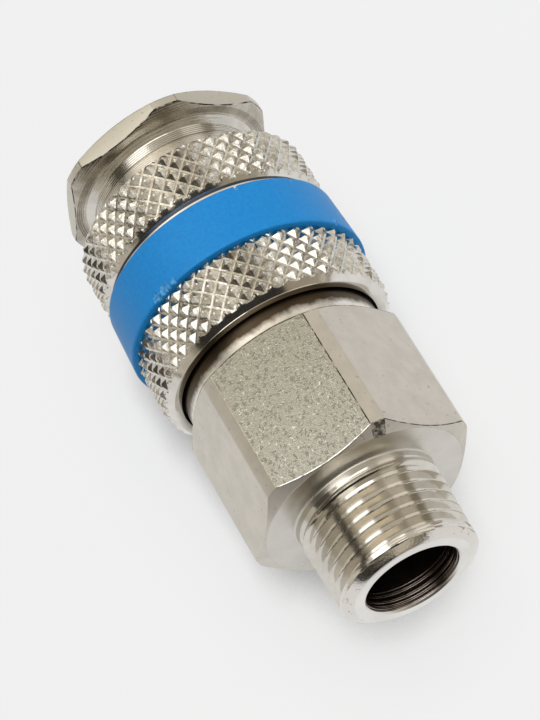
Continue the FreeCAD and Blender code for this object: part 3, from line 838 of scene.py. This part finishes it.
def hexagon_finishes(angle):
    """The rear hexagon's finishes at one angle: side, rear edge, chamfer and the strip under the edge."""
    half_flat = math.acos(HEX_ACROSS_FLATS / 2 / HEX_CORNER_RADIUS)
    from_top = (angle + math.pi) % FULL_TURN - math.pi
    on_left = from_top > 0
    # Painted light: the flats' border lines are a painted highlight on the left and dark on the right, the
    # top flat's rear edge gets light dashes over a painted shade strip, and the rear edges on the left stay
    # plain.
    side, edge, chamfer, under_edge = "flat", "worn", "flat", "flat"
    if abs(from_top) < half_flat:
        side, edge, under_edge = "pitted", "edge", "shade_strip"
    elif on_left:
        edge = "flat"
    elif from_top > half_flat - SECTOR:
        chamfer = under_edge = "corner"
    if abs(abs(from_top) - half_flat) < EDGE_LINE:
        side = "bright" if on_left else "worn"
    return side, edge, chamfer, under_edge


def rear_section(angle):
    """The rear body's outline at one angle, from the thread's end round to its nose."""
    side, edge, chamfer, under_edge = hexagon_finishes(angle)
    limit = hexagon_limit(angle, HEX_ACROSS_FLATS, HEX_CORNER_RADIUS)
    rear_chamfer = HEX_START + (limit - HEX_FACE_RADIUS) * CHAMFER_SLOPE
    front_chamfer = HEX_END - (limit - SHOULDER_RADIUS) * CHAMFER_SLOPE
    outline = [
        (THREAD_END, SHANK_RADIUS, "turned", 0),
        (HEX_START, SHANK_RADIUS, "faced", 0.25),
        (HEX_START, HEX_FACE_RADIUS, chamfer, 0.1),
        (rear_chamfer - EDGE_SHADE * CHAMFER_SLOPE, limit - EDGE_SHADE, under_edge, 0),
        (rear_chamfer, limit, (edge, side), 0.1),
        (front_chamfer, limit, ("worn", "flat"), 0.08),
        (HEX_END, SHOULDER_RADIUS, "shoulder", 0.15),
        (SHOULDER_END, SHOULDER_RADIUS, "faced", 0.2),
        (SHOULDER_END, BOSS_RADIUS, "turned", 0.1),
        (BOSS_END, BOSS_RADIUS, "faced", 0.2),
        (BOSS_END, CHAMBER_RADIUS, "bore", 0.2),
        (BORE_LENGTH, CHAMBER_RADIUS, "bore", 0.2),
        (BORE_LENGTH, BORE_RADIUS, "bore", 0.1),
        *tool_ridges(),
        (BORE_EDGE, BORE_RADIUS, "end", 0.05),
        (0.0, BORE_RADIUS + BORE_EDGE, "end", 0.05),
        (0.0, END_FACE_RADIUS, ("end", "nose"), 0.2),
        (NOSE_START, END_FACE_RADIUS + NOSE_START * NOSE_SLOPE, "thread", 0),
    ]
    return softened(outline)


def make_rear_body():
    """The turned and milled body with its thread."""
    finishes = {
        "turned": TURNED,
        "faced": FACED,
        "thread": THREADED,
        "flat": FLAT,
        "pitted": PITTED,
        "bore": BORE,
        "worn": WORN_AND_SHADED,
        "bright": HIGHLIGHT_LINE,
        "end": END_FACE,
        "shoulder": SHOULDER,
        "nose": NOSE,
        "edge": EDGE,
        "shade_strip": SHADE_STRIP,
        "corner": CORNER,
    }
    angles = hexagon_angles(HEX_ACROSS_FLATS, HEX_CORNER_RADIUS)
    mesh = bmesh.new()
    add_turned(mesh, rear_section, angles, finishes, closed=False)
    add_thread(mesh, angles, finishes)
    make_piece("rear_body_look", mesh, finishes.values(), "coupling_body", "rear_body")


# Socket body


def relief_ridges():
    """Fine ridges left by the tool in the relief beside the collar."""
    ridges = []
    for ridge in range(RELIEF_RIDGE_COUNT):
        x = RELIEF_START + RELIEF_RIDGE_START + ridge * RELIEF_RIDGE_PITCH
        ridges.append((x, RELIEF_RADIUS, "turned", 0))
        ridges.append((x + RELIEF_RIDGE_PITCH / 4, RELIEF_RADIUS + RELIEF_RIDGE_HEIGHT, "turned", 0))
        ridges.append((x + RELIEF_RIDGE_PITCH / 2, RELIEF_RADIUS, "turned", 0))
    return ridges


def socket_section(angle):
    """The socket body's outline at one angle, outside first and then the stepped bore."""
    limit = hexagon_limit(angle, COLLAR_ACROSS_FLATS, COLLAR_CORNER_RADIUS, COLLAR_TWIST)
    rise = (limit - COLLAR_FACE_RADIUS) * CHAMFER_SLOPE
    from_flat = abs((angle - COLLAR_TWIST + SECTOR / 2) % SECTOR - SECTOR / 2)
    half_flat = math.acos(COLLAR_ACROSS_FLATS / 2 / COLLAR_CORNER_RADIUS)
    side = "collar" if from_flat < half_flat else "flat"
    # Painted shade on the collar flats' border lines
    if abs(from_flat - half_flat) < EDGE_LINE:
        side = "step"
    groove_start, groove_end, groove_floor = O_RING_GROOVE
    seal_start, seal_end, seal_floor = SEAL_GROOVE
    outline = [
        (SPIGOT_START, MOUTH_RADIUS, "bore", 0.1),
        (SPIGOT_START, SPIGOT_RADIUS, "turned", 0.2),
        (groove_start, SPIGOT_RADIUS, "turned", 0.05),
        (groove_start, groove_floor, "turned", 0.1),
        (groove_end, groove_floor, "turned", 0.1),
        (groove_end, SPIGOT_RADIUS, "turned", 0.05),
        (BOSS_END, SPIGOT_RADIUS, "faced", 0.1),
        (BOSS_END, LAND_RADIUS, "turned", 0.1),
        (LAND_END, LAND_RADIUS, "faced", 0.1),
        (LAND_END, NECK_RADIUS, "turned", 0.1),
        (RELIEF_START, NECK_RADIUS, "turned", 0.1),
        (RELIEF_START + RELIEF_RAMP, RELIEF_RADIUS, "turned", 0.1),
        *relief_ridges(),
        (NECK_END, RELIEF_RADIUS, "turned", 0.3),
        (COLLAR_START, COLLAR_ROOT_RADIUS, "step", 0.3),
        (COLLAR_START, COLLAR_FACE_RADIUS, "step", 0.08),
        (COLLAR_START + rise, limit, ("worn", side), 0.1),
        (COLLAR_END - rise, limit, ("worn", "flat"), 0.06),
        (COLLAR_END, COLLAR_FACE_RADIUS, "faced", 0.1),
        (COLLAR_END, MOUTH_RADIUS + MOUTH_EDGE, "faced", 0.08),
        (COLLAR_END - MOUTH_EDGE, MOUTH_RADIUS, "bore", 0.08),
        (MOUTH_DEPTH, MOUTH_RADIUS, "bore", 0.1),
        (MOUTH_DEPTH, GUIDE_RADIUS, "bore", 0.05),
        (GUIDE_DEPTH, GUIDE_RADIUS, "bore", 0.1),
        (GUIDE_DEPTH, TIP_RADIUS, "bore", 0.1),
        (seal_start, TIP_RADIUS, "bore", 0.05),
        (seal_start, seal_floor, "bore", 0.1),
        (seal_end, seal_floor, "bore", 0.1),
        (seal_end, TIP_RADIUS, "bore", 0.05),
        (TIP_DEPTH, TIP_RADIUS, "bore", 0.1),
        (TIP_DEPTH, THROAT_RADIUS, "bore", 0.1),
        (THROAT_DEPTH, THROAT_RADIUS, "bore", 0.1),
        (THROAT_DEPTH, MOUTH_RADIUS, "bore", 0.2),
    ]
    return softened(outline)


def ball_hole_cutter():
    """Stepped pins on the balls' places, as one mesh to cut with."""
    mesh = bmesh.new()
    for ball in range(BALL_COUNT):
        turn = Matrix.Rotation(ball * SECTOR, 4, "X")
        for radius, low, high in (
            (BALL_HOLE_RADIUS, BALL_LIP_HEIGHT, NECK_RADIUS + CUT_REACH),
            (BALL_LIP_RADIUS, GUIDE_RADIUS - CUT_REACH, BALL_LIP_HEIGHT + CUT_OVERLAP),
        ):
            place = Matrix.Translation((BALL_PLACE * MM, 0, (low + high) / 2 * MM))
            bmesh.ops.create_cone(
                mesh,
                cap_ends=True,
                segments=HOLE_SIDES,
                radius1=radius * MM,
                radius2=radius * MM,
                depth=(high - low) * MM,
                matrix=turn @ place,
            )
    data = bpy.data.meshes.new("ball_hole_cutter")
    mesh.to_mesh(data)
    mesh.free()
    return add_object("ball_hole_cutter", data)


def cut_with(piece, cutter):
    """Cuts one mesh out of another and keeps only the result."""
    cut = piece.modifiers.new("holes", "BOOLEAN")
    cut.operation = "DIFFERENCE"
    cut.solver = "EXACT"
    cut.use_self = True
    cut.object = cutter
    evaluated = piece.evaluated_get(bpy.context.evaluated_depsgraph_get())
    result = bpy.data.meshes.new_from_object(evaluated)
    piece.modifiers.clear()
    piece.data = result
    bpy.data.objects.remove(cutter)


def make_socket_body():
    """The neck and collar around the plug's bore, with the balls' holes."""
    finishes = {
        "turned": NECK,
        "faced": FACED,
        "flat": FLAT,
        "bore": TURNED,
        "collar": COLLAR,
        "worn": WORN_AND_SHADED,
        "step": STEP,
    }
    angles = hexagon_angles(COLLAR_ACROSS_FLATS, COLLAR_CORNER_RADIUS, COLLAR_TWIST)
    mesh = bmesh.new()
    add_turned(mesh, socket_section, angles, finishes)
    materials = finishes.values()
    piece = make_piece("socket_body_look", mesh, materials, "coupling_body", "socket_body")
    cut_with(piece, ball_hole_cutter())


# Sleeve and band


def knurl_level(row, step):
    """The height of the knurl: flat-bottomed crossing grooves and pyramids with worn tops."""
    along = (row + step) / 2
    across = (row - step) / 2
    tooth = uneven(round(along) * TOOTH_STEPS[0], round(across) * TOOTH_STEPS[1], TOOTH_LAYER)
    grain = uneven(row * GRAIN_STEP, step * GRAIN_STEP, GRAIN_LAYER)
    level = 1 - 2 * max(abs(along - round(along)), abs(across - round(across)))
    level = clamp(level, KNURL_FLOOR_LEVEL, KNURL_TIP_LEVEL)
    return level + KNURL_JITTER * (tooth + grain)


def knurl_rows(start, end, rows, rim_radius):
    """One knurled band, chamfered at both ends: x, the radius at each fine step, and the rear chamfer's."""
    result = []
    for fine in range(rows * KNURL_SPLIT + 1):
        row = fine / KNURL_SPLIT
        x = start + (end - start) * row / rows
        rear_limit = rim_radius + (x - start) * KNURL_CHAMFER_SLOPE
        front_limit = KNURL_END_RADIUS + (end - x) * KNURL_CHAMFER_SLOPE
        radii = []
        for column in range(KNURL_AROUND):
            level = knurl_level((fine + KNURL_PHASE) / KNURL_SPLIT, column / KNURL_SPLIT)
            radius = KNURL_ROOT_RADIUS + KNURL_HEIGHT * level
            radii.append(min(radius, KNURL_TIP_RADIUS, front_limit, rear_limit))
        result.append((x, radii, rear_limit))
    return result


def sleeve_inside():
    """The sleeve's outline from its front end through the inside to its rear rim."""
    groove_end, groove_start, groove_floor = CIRCLIP_GROOVE
    outline = [
        (SLEEVE_END, SLEEVE_CORE_RADIUS, "", 0.05),
        (SLEEVE_END, SLEEVE_GUIDE_RADIUS, "", 0.2),
        (CONE_END, SLEEVE_GUIDE_RADIUS, "", 0.2),
        (CONE_START, CAVITY_RADIUS, "", 0.2),
        (SKIRT_END, CAVITY_RADIUS, "", 0.1),
        (SKIRT_END, SKIRT_RADIUS, "", 0.1),
        (groove_end, SKIRT_RADIUS, "", 0.05),
        (groove_end, groove_floor, "", 0.05),
        (groove_start, groove_floor, "", 0.05),
        (groove_start, SKIRT_RADIUS, "", 0.05),
        (LIP_END, SKIRT_RADIUS, "", 0.1),
        (LIP_END, LIP_RADIUS, "", 0.1),
        (SLEEVE_START, LIP_RADIUS, "", 0.12),
        (SLEEVE_START, REAR_RIM_RADIUS, "", 0.05),
    ]
    return [(x, radius) for x, radius, _ in softened(outline)]


def add_ring(mesh, x, radii):
    """A ring of vertices with a radius for each of the knurl's fine steps."""
    angles = even_angles(KNURL_AROUND)
    return [mesh.verts.new(ring_point(x, radius, angle)) for radius, angle in zip(radii, angles)]


def add_smooth_rows(mesh, rings, indices):
    """Joins rings by smooth faces, with a material index for each row of them."""
    for here, there, index in zip(rings, rings[1:], indices):
        for column in range(len(here)):
            after = (column + 1) % len(here)
            face = mesh.faces.new((here[column], there[column], there[after], here[after]))
            face.smooth = True
            face.material_index = index


def add_knurl(mesh, rings, rows, rim, knurl):
    """Joins a knurled band's rings by triangles that follow its grooves, smooth on the rear chamfer."""
    for row, (here, there) in enumerate(zip(rings, rings[1:])):
        _, radii, limit = rows[row]
        _, next_radii, next_limit = rows[row + 1]
        for column in range(len(here)):
            after = (column + 1) % len(here)
            corners = (here[column], there[column], there[after], here[after])
            if ((row + KNURL_PHASE) // KNURL_SPLIT + column // KNURL_SPLIT) % 2:
                triangles = [corners[:3], (corners[0], *corners[2:])]
            else:
                triangles = [(*corners[:2], corners[3]), corners[1:]]
            on_chamfer = radii[column] == limit and next_radii[after] == next_limit
            for triangle in triangles:
                face = mesh.faces.new(triangle)
                face.material_index = rim if on_chamfer else knurl
                face.smooth = on_chamfer


def make_sleeve():
    """The sleeve as one closed grid: knurled outside, turned ends and the stepped inside."""
    materials = [RIM, KNURLED, BORE, END_FACE, GAP]
    rim, knurl, bore, land, gap = range(len(materials))
    rear = knurl_rows(*REAR_KNURL, REAR_RIM_RADIUS)
    front = knurl_rows(*FRONT_KNURL, SLEEVE_CORE_RADIUS)
    inside = sleeve_inside()
    mesh = bmesh.new()
    rear_rings = [add_ring(mesh, x, radii) for x, radii, _ in rear]
    floor_places = (REAR_KNURL[1], LAND_EDGE, FRONT_KNURL[0])
    floor_rings = [add_ring(mesh, x, [SLEEVE_CORE_RADIUS] * KNURL_AROUND) for x in floor_places]
    front_rings = [add_ring(mesh, x, radii) for x, radii, _ in front]
    inside_rings = [add_ring(mesh, x, [radius] * KNURL_AROUND) for x, radius in inside]
    add_knurl(mesh, rear_rings, rear, rim, knurl)
    # The floor rows before the front knurl take the painted groove shade
    add_smooth_rows(mesh, [rear_rings[-1], *floor_rings, front_rings[0]], [land, land, gap, gap])
    add_knurl(mesh, front_rings, front, rim, knurl)
    end_rows = 2 * (CORNER_STEPS + 1)
    inside_rows = len(inside) - 2 * end_rows
    indices = [rim] * (end_rows + 1) + [bore] * inside_rows + [rim] * end_rows
    add_smooth_rows(mesh, [front_rings[-1], *inside_rings, rear_rings[0]], indices)
    make_piece("locking_sleeve_look", mesh, materials, "sleeve", "locking_sleeve", 25.0)


def edge_break(angle, marks):
    """How much deeper an edge of the band is worn at an angle."""
    worn = 0.0
    for centre, half_width, depth in marks:
        distance = abs((math.degrees(angle) - centre + 180) % 360 - 180) / half_width
        if distance < 1:
            worn = max(worn, depth * (1 - distance**2))
    return worn * (CHIP_UNEVEN + uneven(math.degrees(angle) * CHIP_STEP, NOISE_LINE, CHIP_LAYER))


def band_section(angle):
    """The band's outline at one angle, with its worn edges."""
    rear_wear = edge_break(angle, REAR_CHIPS)
    front_wear = edge_break(angle, FRONT_NICKS)
    rear_finish = "chip" if rear_wear > CHIP_SHOWS else "blue"
    front_finish = "chip" if front_wear > CHIP_SHOWS else "blue"
    rear_shoulder = BAND_START + BAND_SHOULDER + rear_wear * CHIP_SPREAD
    outline = [
        (BAND_START, SLEEVE_CORE_RADIUS, "blue", 0),
        (BAND_START, BAND_REAR_RADIUS - rear_wear, rear_finish, BAND_EDGE),
        (rear_shoulder, BAND_REAR_RADIUS - BAND_CROWN, "blue", 0.1),
        (BAND_END - BAND_SHOULDER, BAND_FRONT_RADIUS + BAND_CROWN, front_finish, 0.1),
        (BAND_END - front_wear, BAND_FRONT_RADIUS - front_wear / 2, "blue", BAND_EDGE),
        (BAND_END, SLEEVE_CORE_RADIUS, "blue", 0),
    ]
    return softened(outline)


def make_band():
    """The soft band, with its chips."""
    finishes = {"blue": BLUE, "chip": BLUE_CHIP}
    mesh = bmesh.new()
    add_turned(mesh, band_section, even_angles(BAND_STEPS), finishes)
    make_piece("grip_band_look", mesh, finishes.values(), "sleeve", "grip_band", 50.0)


def make_spring(node, wire, turns):
    """A coil spring that fills the CAD spring's box."""
    low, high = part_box(node)
    start = low.x / MM + wire
    rise = high.x / MM - wire - start
    ring = (high.z - low.z) / 2 / MM - wire
    steps = round(turns * COIL_STEPS)
    mesh = bmesh.new()
    loops = []
    for step in range(steps + 1):
        x = start + rise * step / steps
        angle = -FULL_TURN * step / COIL_STEPS
        loop = []
        for side in even_angles(WIRE_SIDES):
            place = ring_point(x + wire * math.cos(side), ring + wire * math.sin(side), angle)
            loop.append(mesh.verts.new(place))
        loops.append(loop)
    for here, there in zip(loops, loops[1:]):
        for side in range(WIRE_SIDES):
            after = (side + 1) % WIRE_SIDES
            mesh.faces.new((here[side], here[after], there[after], there[side])).smooth = True
    mesh.faces.new(loops[0])
    mesh.faces.new(loops[-1])
    piece = make_piece(node + "_look", mesh, [SPRING_STEEL], "coupling_body", node)
    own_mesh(piece)


def dress_frame():
    """Gives the CAD nodes that stay their own materials."""
    finishes = {
        "sleeve_circlip": BLACK_STEEL,
        "rear_spring_washer": RING_STEEL,
        "front_spring_washer": RING_STEEL,
        "valve_guide": BRASS,
        "valve_poppet": BRASS,
        "valve_seal": RUBBER,
        "plug_seal": RUBBER,
        "body_o_ring": RUBBER,
    }
    for ball in range(BALL_COUNT):
        finishes[f"locking_ball_{ball + 1}"] = BALL_STEEL
    for name, material in finishes.items():
        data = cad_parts[name].data
        data.materials.clear()
        data.materials.append(material)


# Studio


def add_seen(tree):
    """1 for the rays that show the backdrop: camera, mirror and glass rays."""
    path = add_node(tree, "ShaderNodeLightPath")
    seen = add_node(tree, "ShaderNodeMath", {"operation": "MAXIMUM"})
    tree.links.new(path.outputs["Is Camera Ray"], seen.inputs[0])
    tree.links.new(path.outputs["Is Glossy Ray"], seen.inputs[1])
    through = add_node(tree, "ShaderNodeMath", {"operation": "MAXIMUM"})
    tree.links.new(seen.outputs[0], through.inputs[0])
    tree.links.new(path.outputs["Is Transmission Ray"], through.inputs[1])
    return through.outputs[0]


def floor_material():
    """Pale and even where it is seen, with a painted contact shadow from occlusion, leaned to one side, and
    a share of the lamp's own shadow.
    """
    material = bpy.data.materials.new("floor")
    tree = empty_tree(material)
    paint = add_node(tree, "ShaderNodeBsdfDiffuse", sockets={"Color": FLOOR_PAINT})
    # Painted shadow: occlusion near the coupling, leaned to one side, darkens the floor's glow
    painted_shadow = add_node(tree, "ShaderNodeAmbientOcclusion", {"samples": 16}, {"Distance": PAINTED_SHADOW_REACH})
    lean = add_node(tree, "ShaderNodeCombineXYZ", sockets=PAINTED_SHADOW_LEAN)
    tree.links.new(lean.outputs["Vector"], painted_shadow.inputs["Normal"])
    glow = add_node(tree, "ShaderNodeEmission")
    tone = two_tone(tree, painted_shadow.outputs["AO"], 0.41, 0.77, PAINTED_SHADOW_TONE, PALE[:3])
    tree.links.new(tone, glow.inputs["Color"])
    shaded = add_node(tree, "ShaderNodeMixShader", sockets={"Fac": SHADOW_SHARE})
    tree.links.new(glow.outputs[0], shaded.inputs[1])
    tree.links.new(paint.outputs[0], shaded.inputs[2])
    mix = add_node(tree, "ShaderNodeMixShader")
    tree.links.new(add_seen(tree), mix.inputs["Fac"])
    tree.links.new(paint.outputs[0], mix.inputs[1])
    tree.links.new(shaded.outputs[0], mix.inputs[2])
    output = add_node(tree, "ShaderNodeOutputMaterial")
    tree.links.new(mix.outputs[0], output.inputs["Surface"])
    return material


def make_floor():
    """A pale floor at the coupling's lowest point."""
    half = FLOOR_SIZE / 2
    level = cad_box[0].z
    corners = [(-half, -half, level), (half, -half, level), (half, half, level), (-half, half, level)]
    data = bpy.data.meshes.new("floor")
    data.from_pydata(corners, [], [(0, 1, 2, 3)])
    data.materials.append(floor_material())
    floor = add_object("floor", data)


def make_world():
    """A pale surround that camera and mirror rays see, and a dimmer fill for the rest."""
    world = bpy.data.worlds.new("studio")
    bpy.context.scene.world = world
    tree = empty_tree(world)
    white = {"Color": (1.0, 1.0, 1.0, 1.0), "Strength": FILL_STRENGTH}
    fill = add_node(tree, "ShaderNodeBackground", sockets=white)
    surround = add_node(tree, "ShaderNodeBackground", sockets={"Color": PALE})
    mix = add_node(tree, "ShaderNodeMixShader")
    tree.links.new(add_seen(tree), mix.inputs["Fac"])
    tree.links.new(fill.outputs[0], mix.inputs[1])
    tree.links.new(surround.outputs[0], mix.inputs[2])
    output = add_node(tree, "ShaderNodeOutputWorld")
    tree.links.new(mix.outputs[0], output.inputs["Surface"])


def add_softbox(name, place, size, power):
    """A soft lamp over the coupling. The metal doesn't mirror it: it has the cards for that."""
    data = bpy.data.lights.new(name, "AREA")
    data.shape = "RECTANGLE"
    data.size, data.size_y = size
    data.energy = power
    lamp = add_object(name, data)
    turn = (Vector(LAMP_TARGET) - Vector(place)).to_track_quat("-Z", "Y").to_matrix().to_4x4()
    lamp.matrix_world = Matrix.Translation(place) @ turn
    lamp.visible_glossy = False


def add_card(name, centre, across, up, tone):
    """A studio card that only mirror rays see, given by its centre and two half sides."""
    centre, across, up = Vector(centre), Vector(across), Vector(up)
    corners = [centre - across - up, centre + across - up, centre + across + up, centre - across + up]
    data = bpy.data.meshes.new(name)
    data.from_pydata(corners, [], [(0, 1, 2, 3)])
    material = bpy.data.materials.new(name)
    tree = empty_tree(material)
    glow = add_node(tree, "ShaderNodeEmission", sockets={"Color": (*tone, 1.0)})
    output = add_node(tree, "ShaderNodeOutputMaterial")
    tree.links.new(glow.outputs[0], output.inputs["Surface"])
    data.materials.append(material)
    card = add_object(name, data)
    card.visible_camera = False
    card.visible_diffuse = False
    card.visible_shadow = False


def make_lights():
    """One soft lamp from above, and the cards that the metal mirrors."""
    add_softbox("overhead", (0.03, -0.14, 0.55), (0.42, 0.42), 2.4)
    add_card("ceiling_card", (0.03, 0.0, 0.85), (1.2, 0, 0), (0, 1.2, 0), (0.60, 0.555, 0.475))
    add_card("bright_card", (0.2, 0.2, 0.8), (0.33, 0, 0), (0, 0.22, 0), (2.0, 1.98, 1.92))
    add_card("camera_card", (-0.42, -0.12, 0.79), (0.22, 0, 0), (0, 0.38, 0), (2.3, 2.28, 2.22))
    add_card("warm_card", (0.78, 0.0, 0.81), (0.2, 0, 0), (0, 0.5, 0), (1.2, 1.08, 0.88))
    add_card("ceiling_left_card", (-0.2, 0.62, 0.79), (0.6, 0, 0), (0, 0.13, 0), SHADE_TONE)
    add_card("left_low_card", (0.1, 0.75, 0.175), (0.8, 0, 0), (0, 0, 0.185), (0.60, 0.56, 0.48))
    add_card("left_far_card", (0.55, 0.73, 0.3), (0.35, 0, 0), (0, 0, 0.22), (0.64, 0.60, 0.52))
    add_card("left_high_card", (0.1, 0.74, 0.61), (0.8, 0, 0), (0, 0, 0.24), SHADE_TONE)
    add_card("right_low_card", (0.1, -0.8, 0.08), (1.1, 0, 0), (0, 0, 0.14), (0.36, 0.32, 0.26))
    add_card("right_high_card", (0.1, -0.79, 0.46), (0.8, 0, 0), (0, 0, 0.24), (0.92, 0.87, 0.78))
    add_card("front_dark_card", (-0.7, 0.1, 0.36), (0, 0.55, 0), (0, 0, 0.24), BLACK_TONE)
    add_card("front_low_card", (-0.695, 0.25, 0.05), (0, 0.37, 0), (0, 0, 0.07), BLACK_TONE)
    add_card("front_tan_card", (-0.71, 0.0, 0.2), (0, 1.2, 0), (0, 0, 0.32), (0.40, 0.35, 0.27))
    add_card("table_card", (-0.27, 0.0, -0.0134), (0.16, 0, 0), (0, 0.6, 0), (0.68, 0.61, 0.49))
    add_card("table_far_card", (-0.57, 0.0, -0.0134), (0.14, 0, 0), (0, 0.6, 0), (0.06, 0.052, 0.045))
    # Painted shadow on the floor, which only mirror rays see: a dark patch before the nose and two darker
    # patches beside the thread
    add_card("table_shadow_card", (-0.125, 0.045, -0.0131), (0.08, 0, 0), (0, 0.04, 0), BLACK_TONE)
    flank_side = (0.0042, 0, 0)
    add_card("right_flank_shadow_card", (-0.0305, -0.027, -0.0133), (0.0125, 0.0036, 0), flank_side, MIRRORED_SHADOW_TONE)
    low_flank_place = (-0.0075, -0.0187, -0.0133)
    add_card("right_low_flank_shadow_card", low_flank_place, (0.0105, 0.0047, 0), flank_side, MIRRORED_SHADOW_TONE)
    add_card("table_edge_card", (-0.087, 0.0, -0.0132), (0.025, 0, 0), (0, 0.3, 0), (0.14, 0.12, 0.09))
    add_card("far_card", (0.85, 0.0, 0.2), (0, 0.8, 0), (0, 0, 0.28), (0.55, 0.50, 0.42))


def make_camera():
    """The photograph's camera, as fitted."""
    data = bpy.data.cameras.new("camera")
    data.lens = CAMERA_LENS
    data.sensor_width = SENSOR
    data.sensor_fit = "AUTO"
    data.clip_start = 0.01
    data.clip_end = 10.0
    camera = add_object("camera", data)
    axes = Matrix((CAMERA_RIGHT, CAMERA_UP, [-value for value in CAMERA_AIM])).transposed()
    camera.matrix_world = Matrix.Translation(Vector(CAMERA_PLACE) * MM) @ axes.to_4x4()
    bpy.context.scene.camera = camera


make_rear_body()
make_socket_body()
make_sleeve()
make_band()
make_spring("sleeve_spring", SLEEVE_SPRING_WIRE, SLEEVE_SPRING_TURNS)
make_spring("valve_spring", VALVE_SPRING_WIRE, VALVE_SPRING_TURNS)
dress_frame()
make_floor()
make_world()
make_lights()
make_camera()
bpy.context.scene.view_settings.view_transform = "Standard"
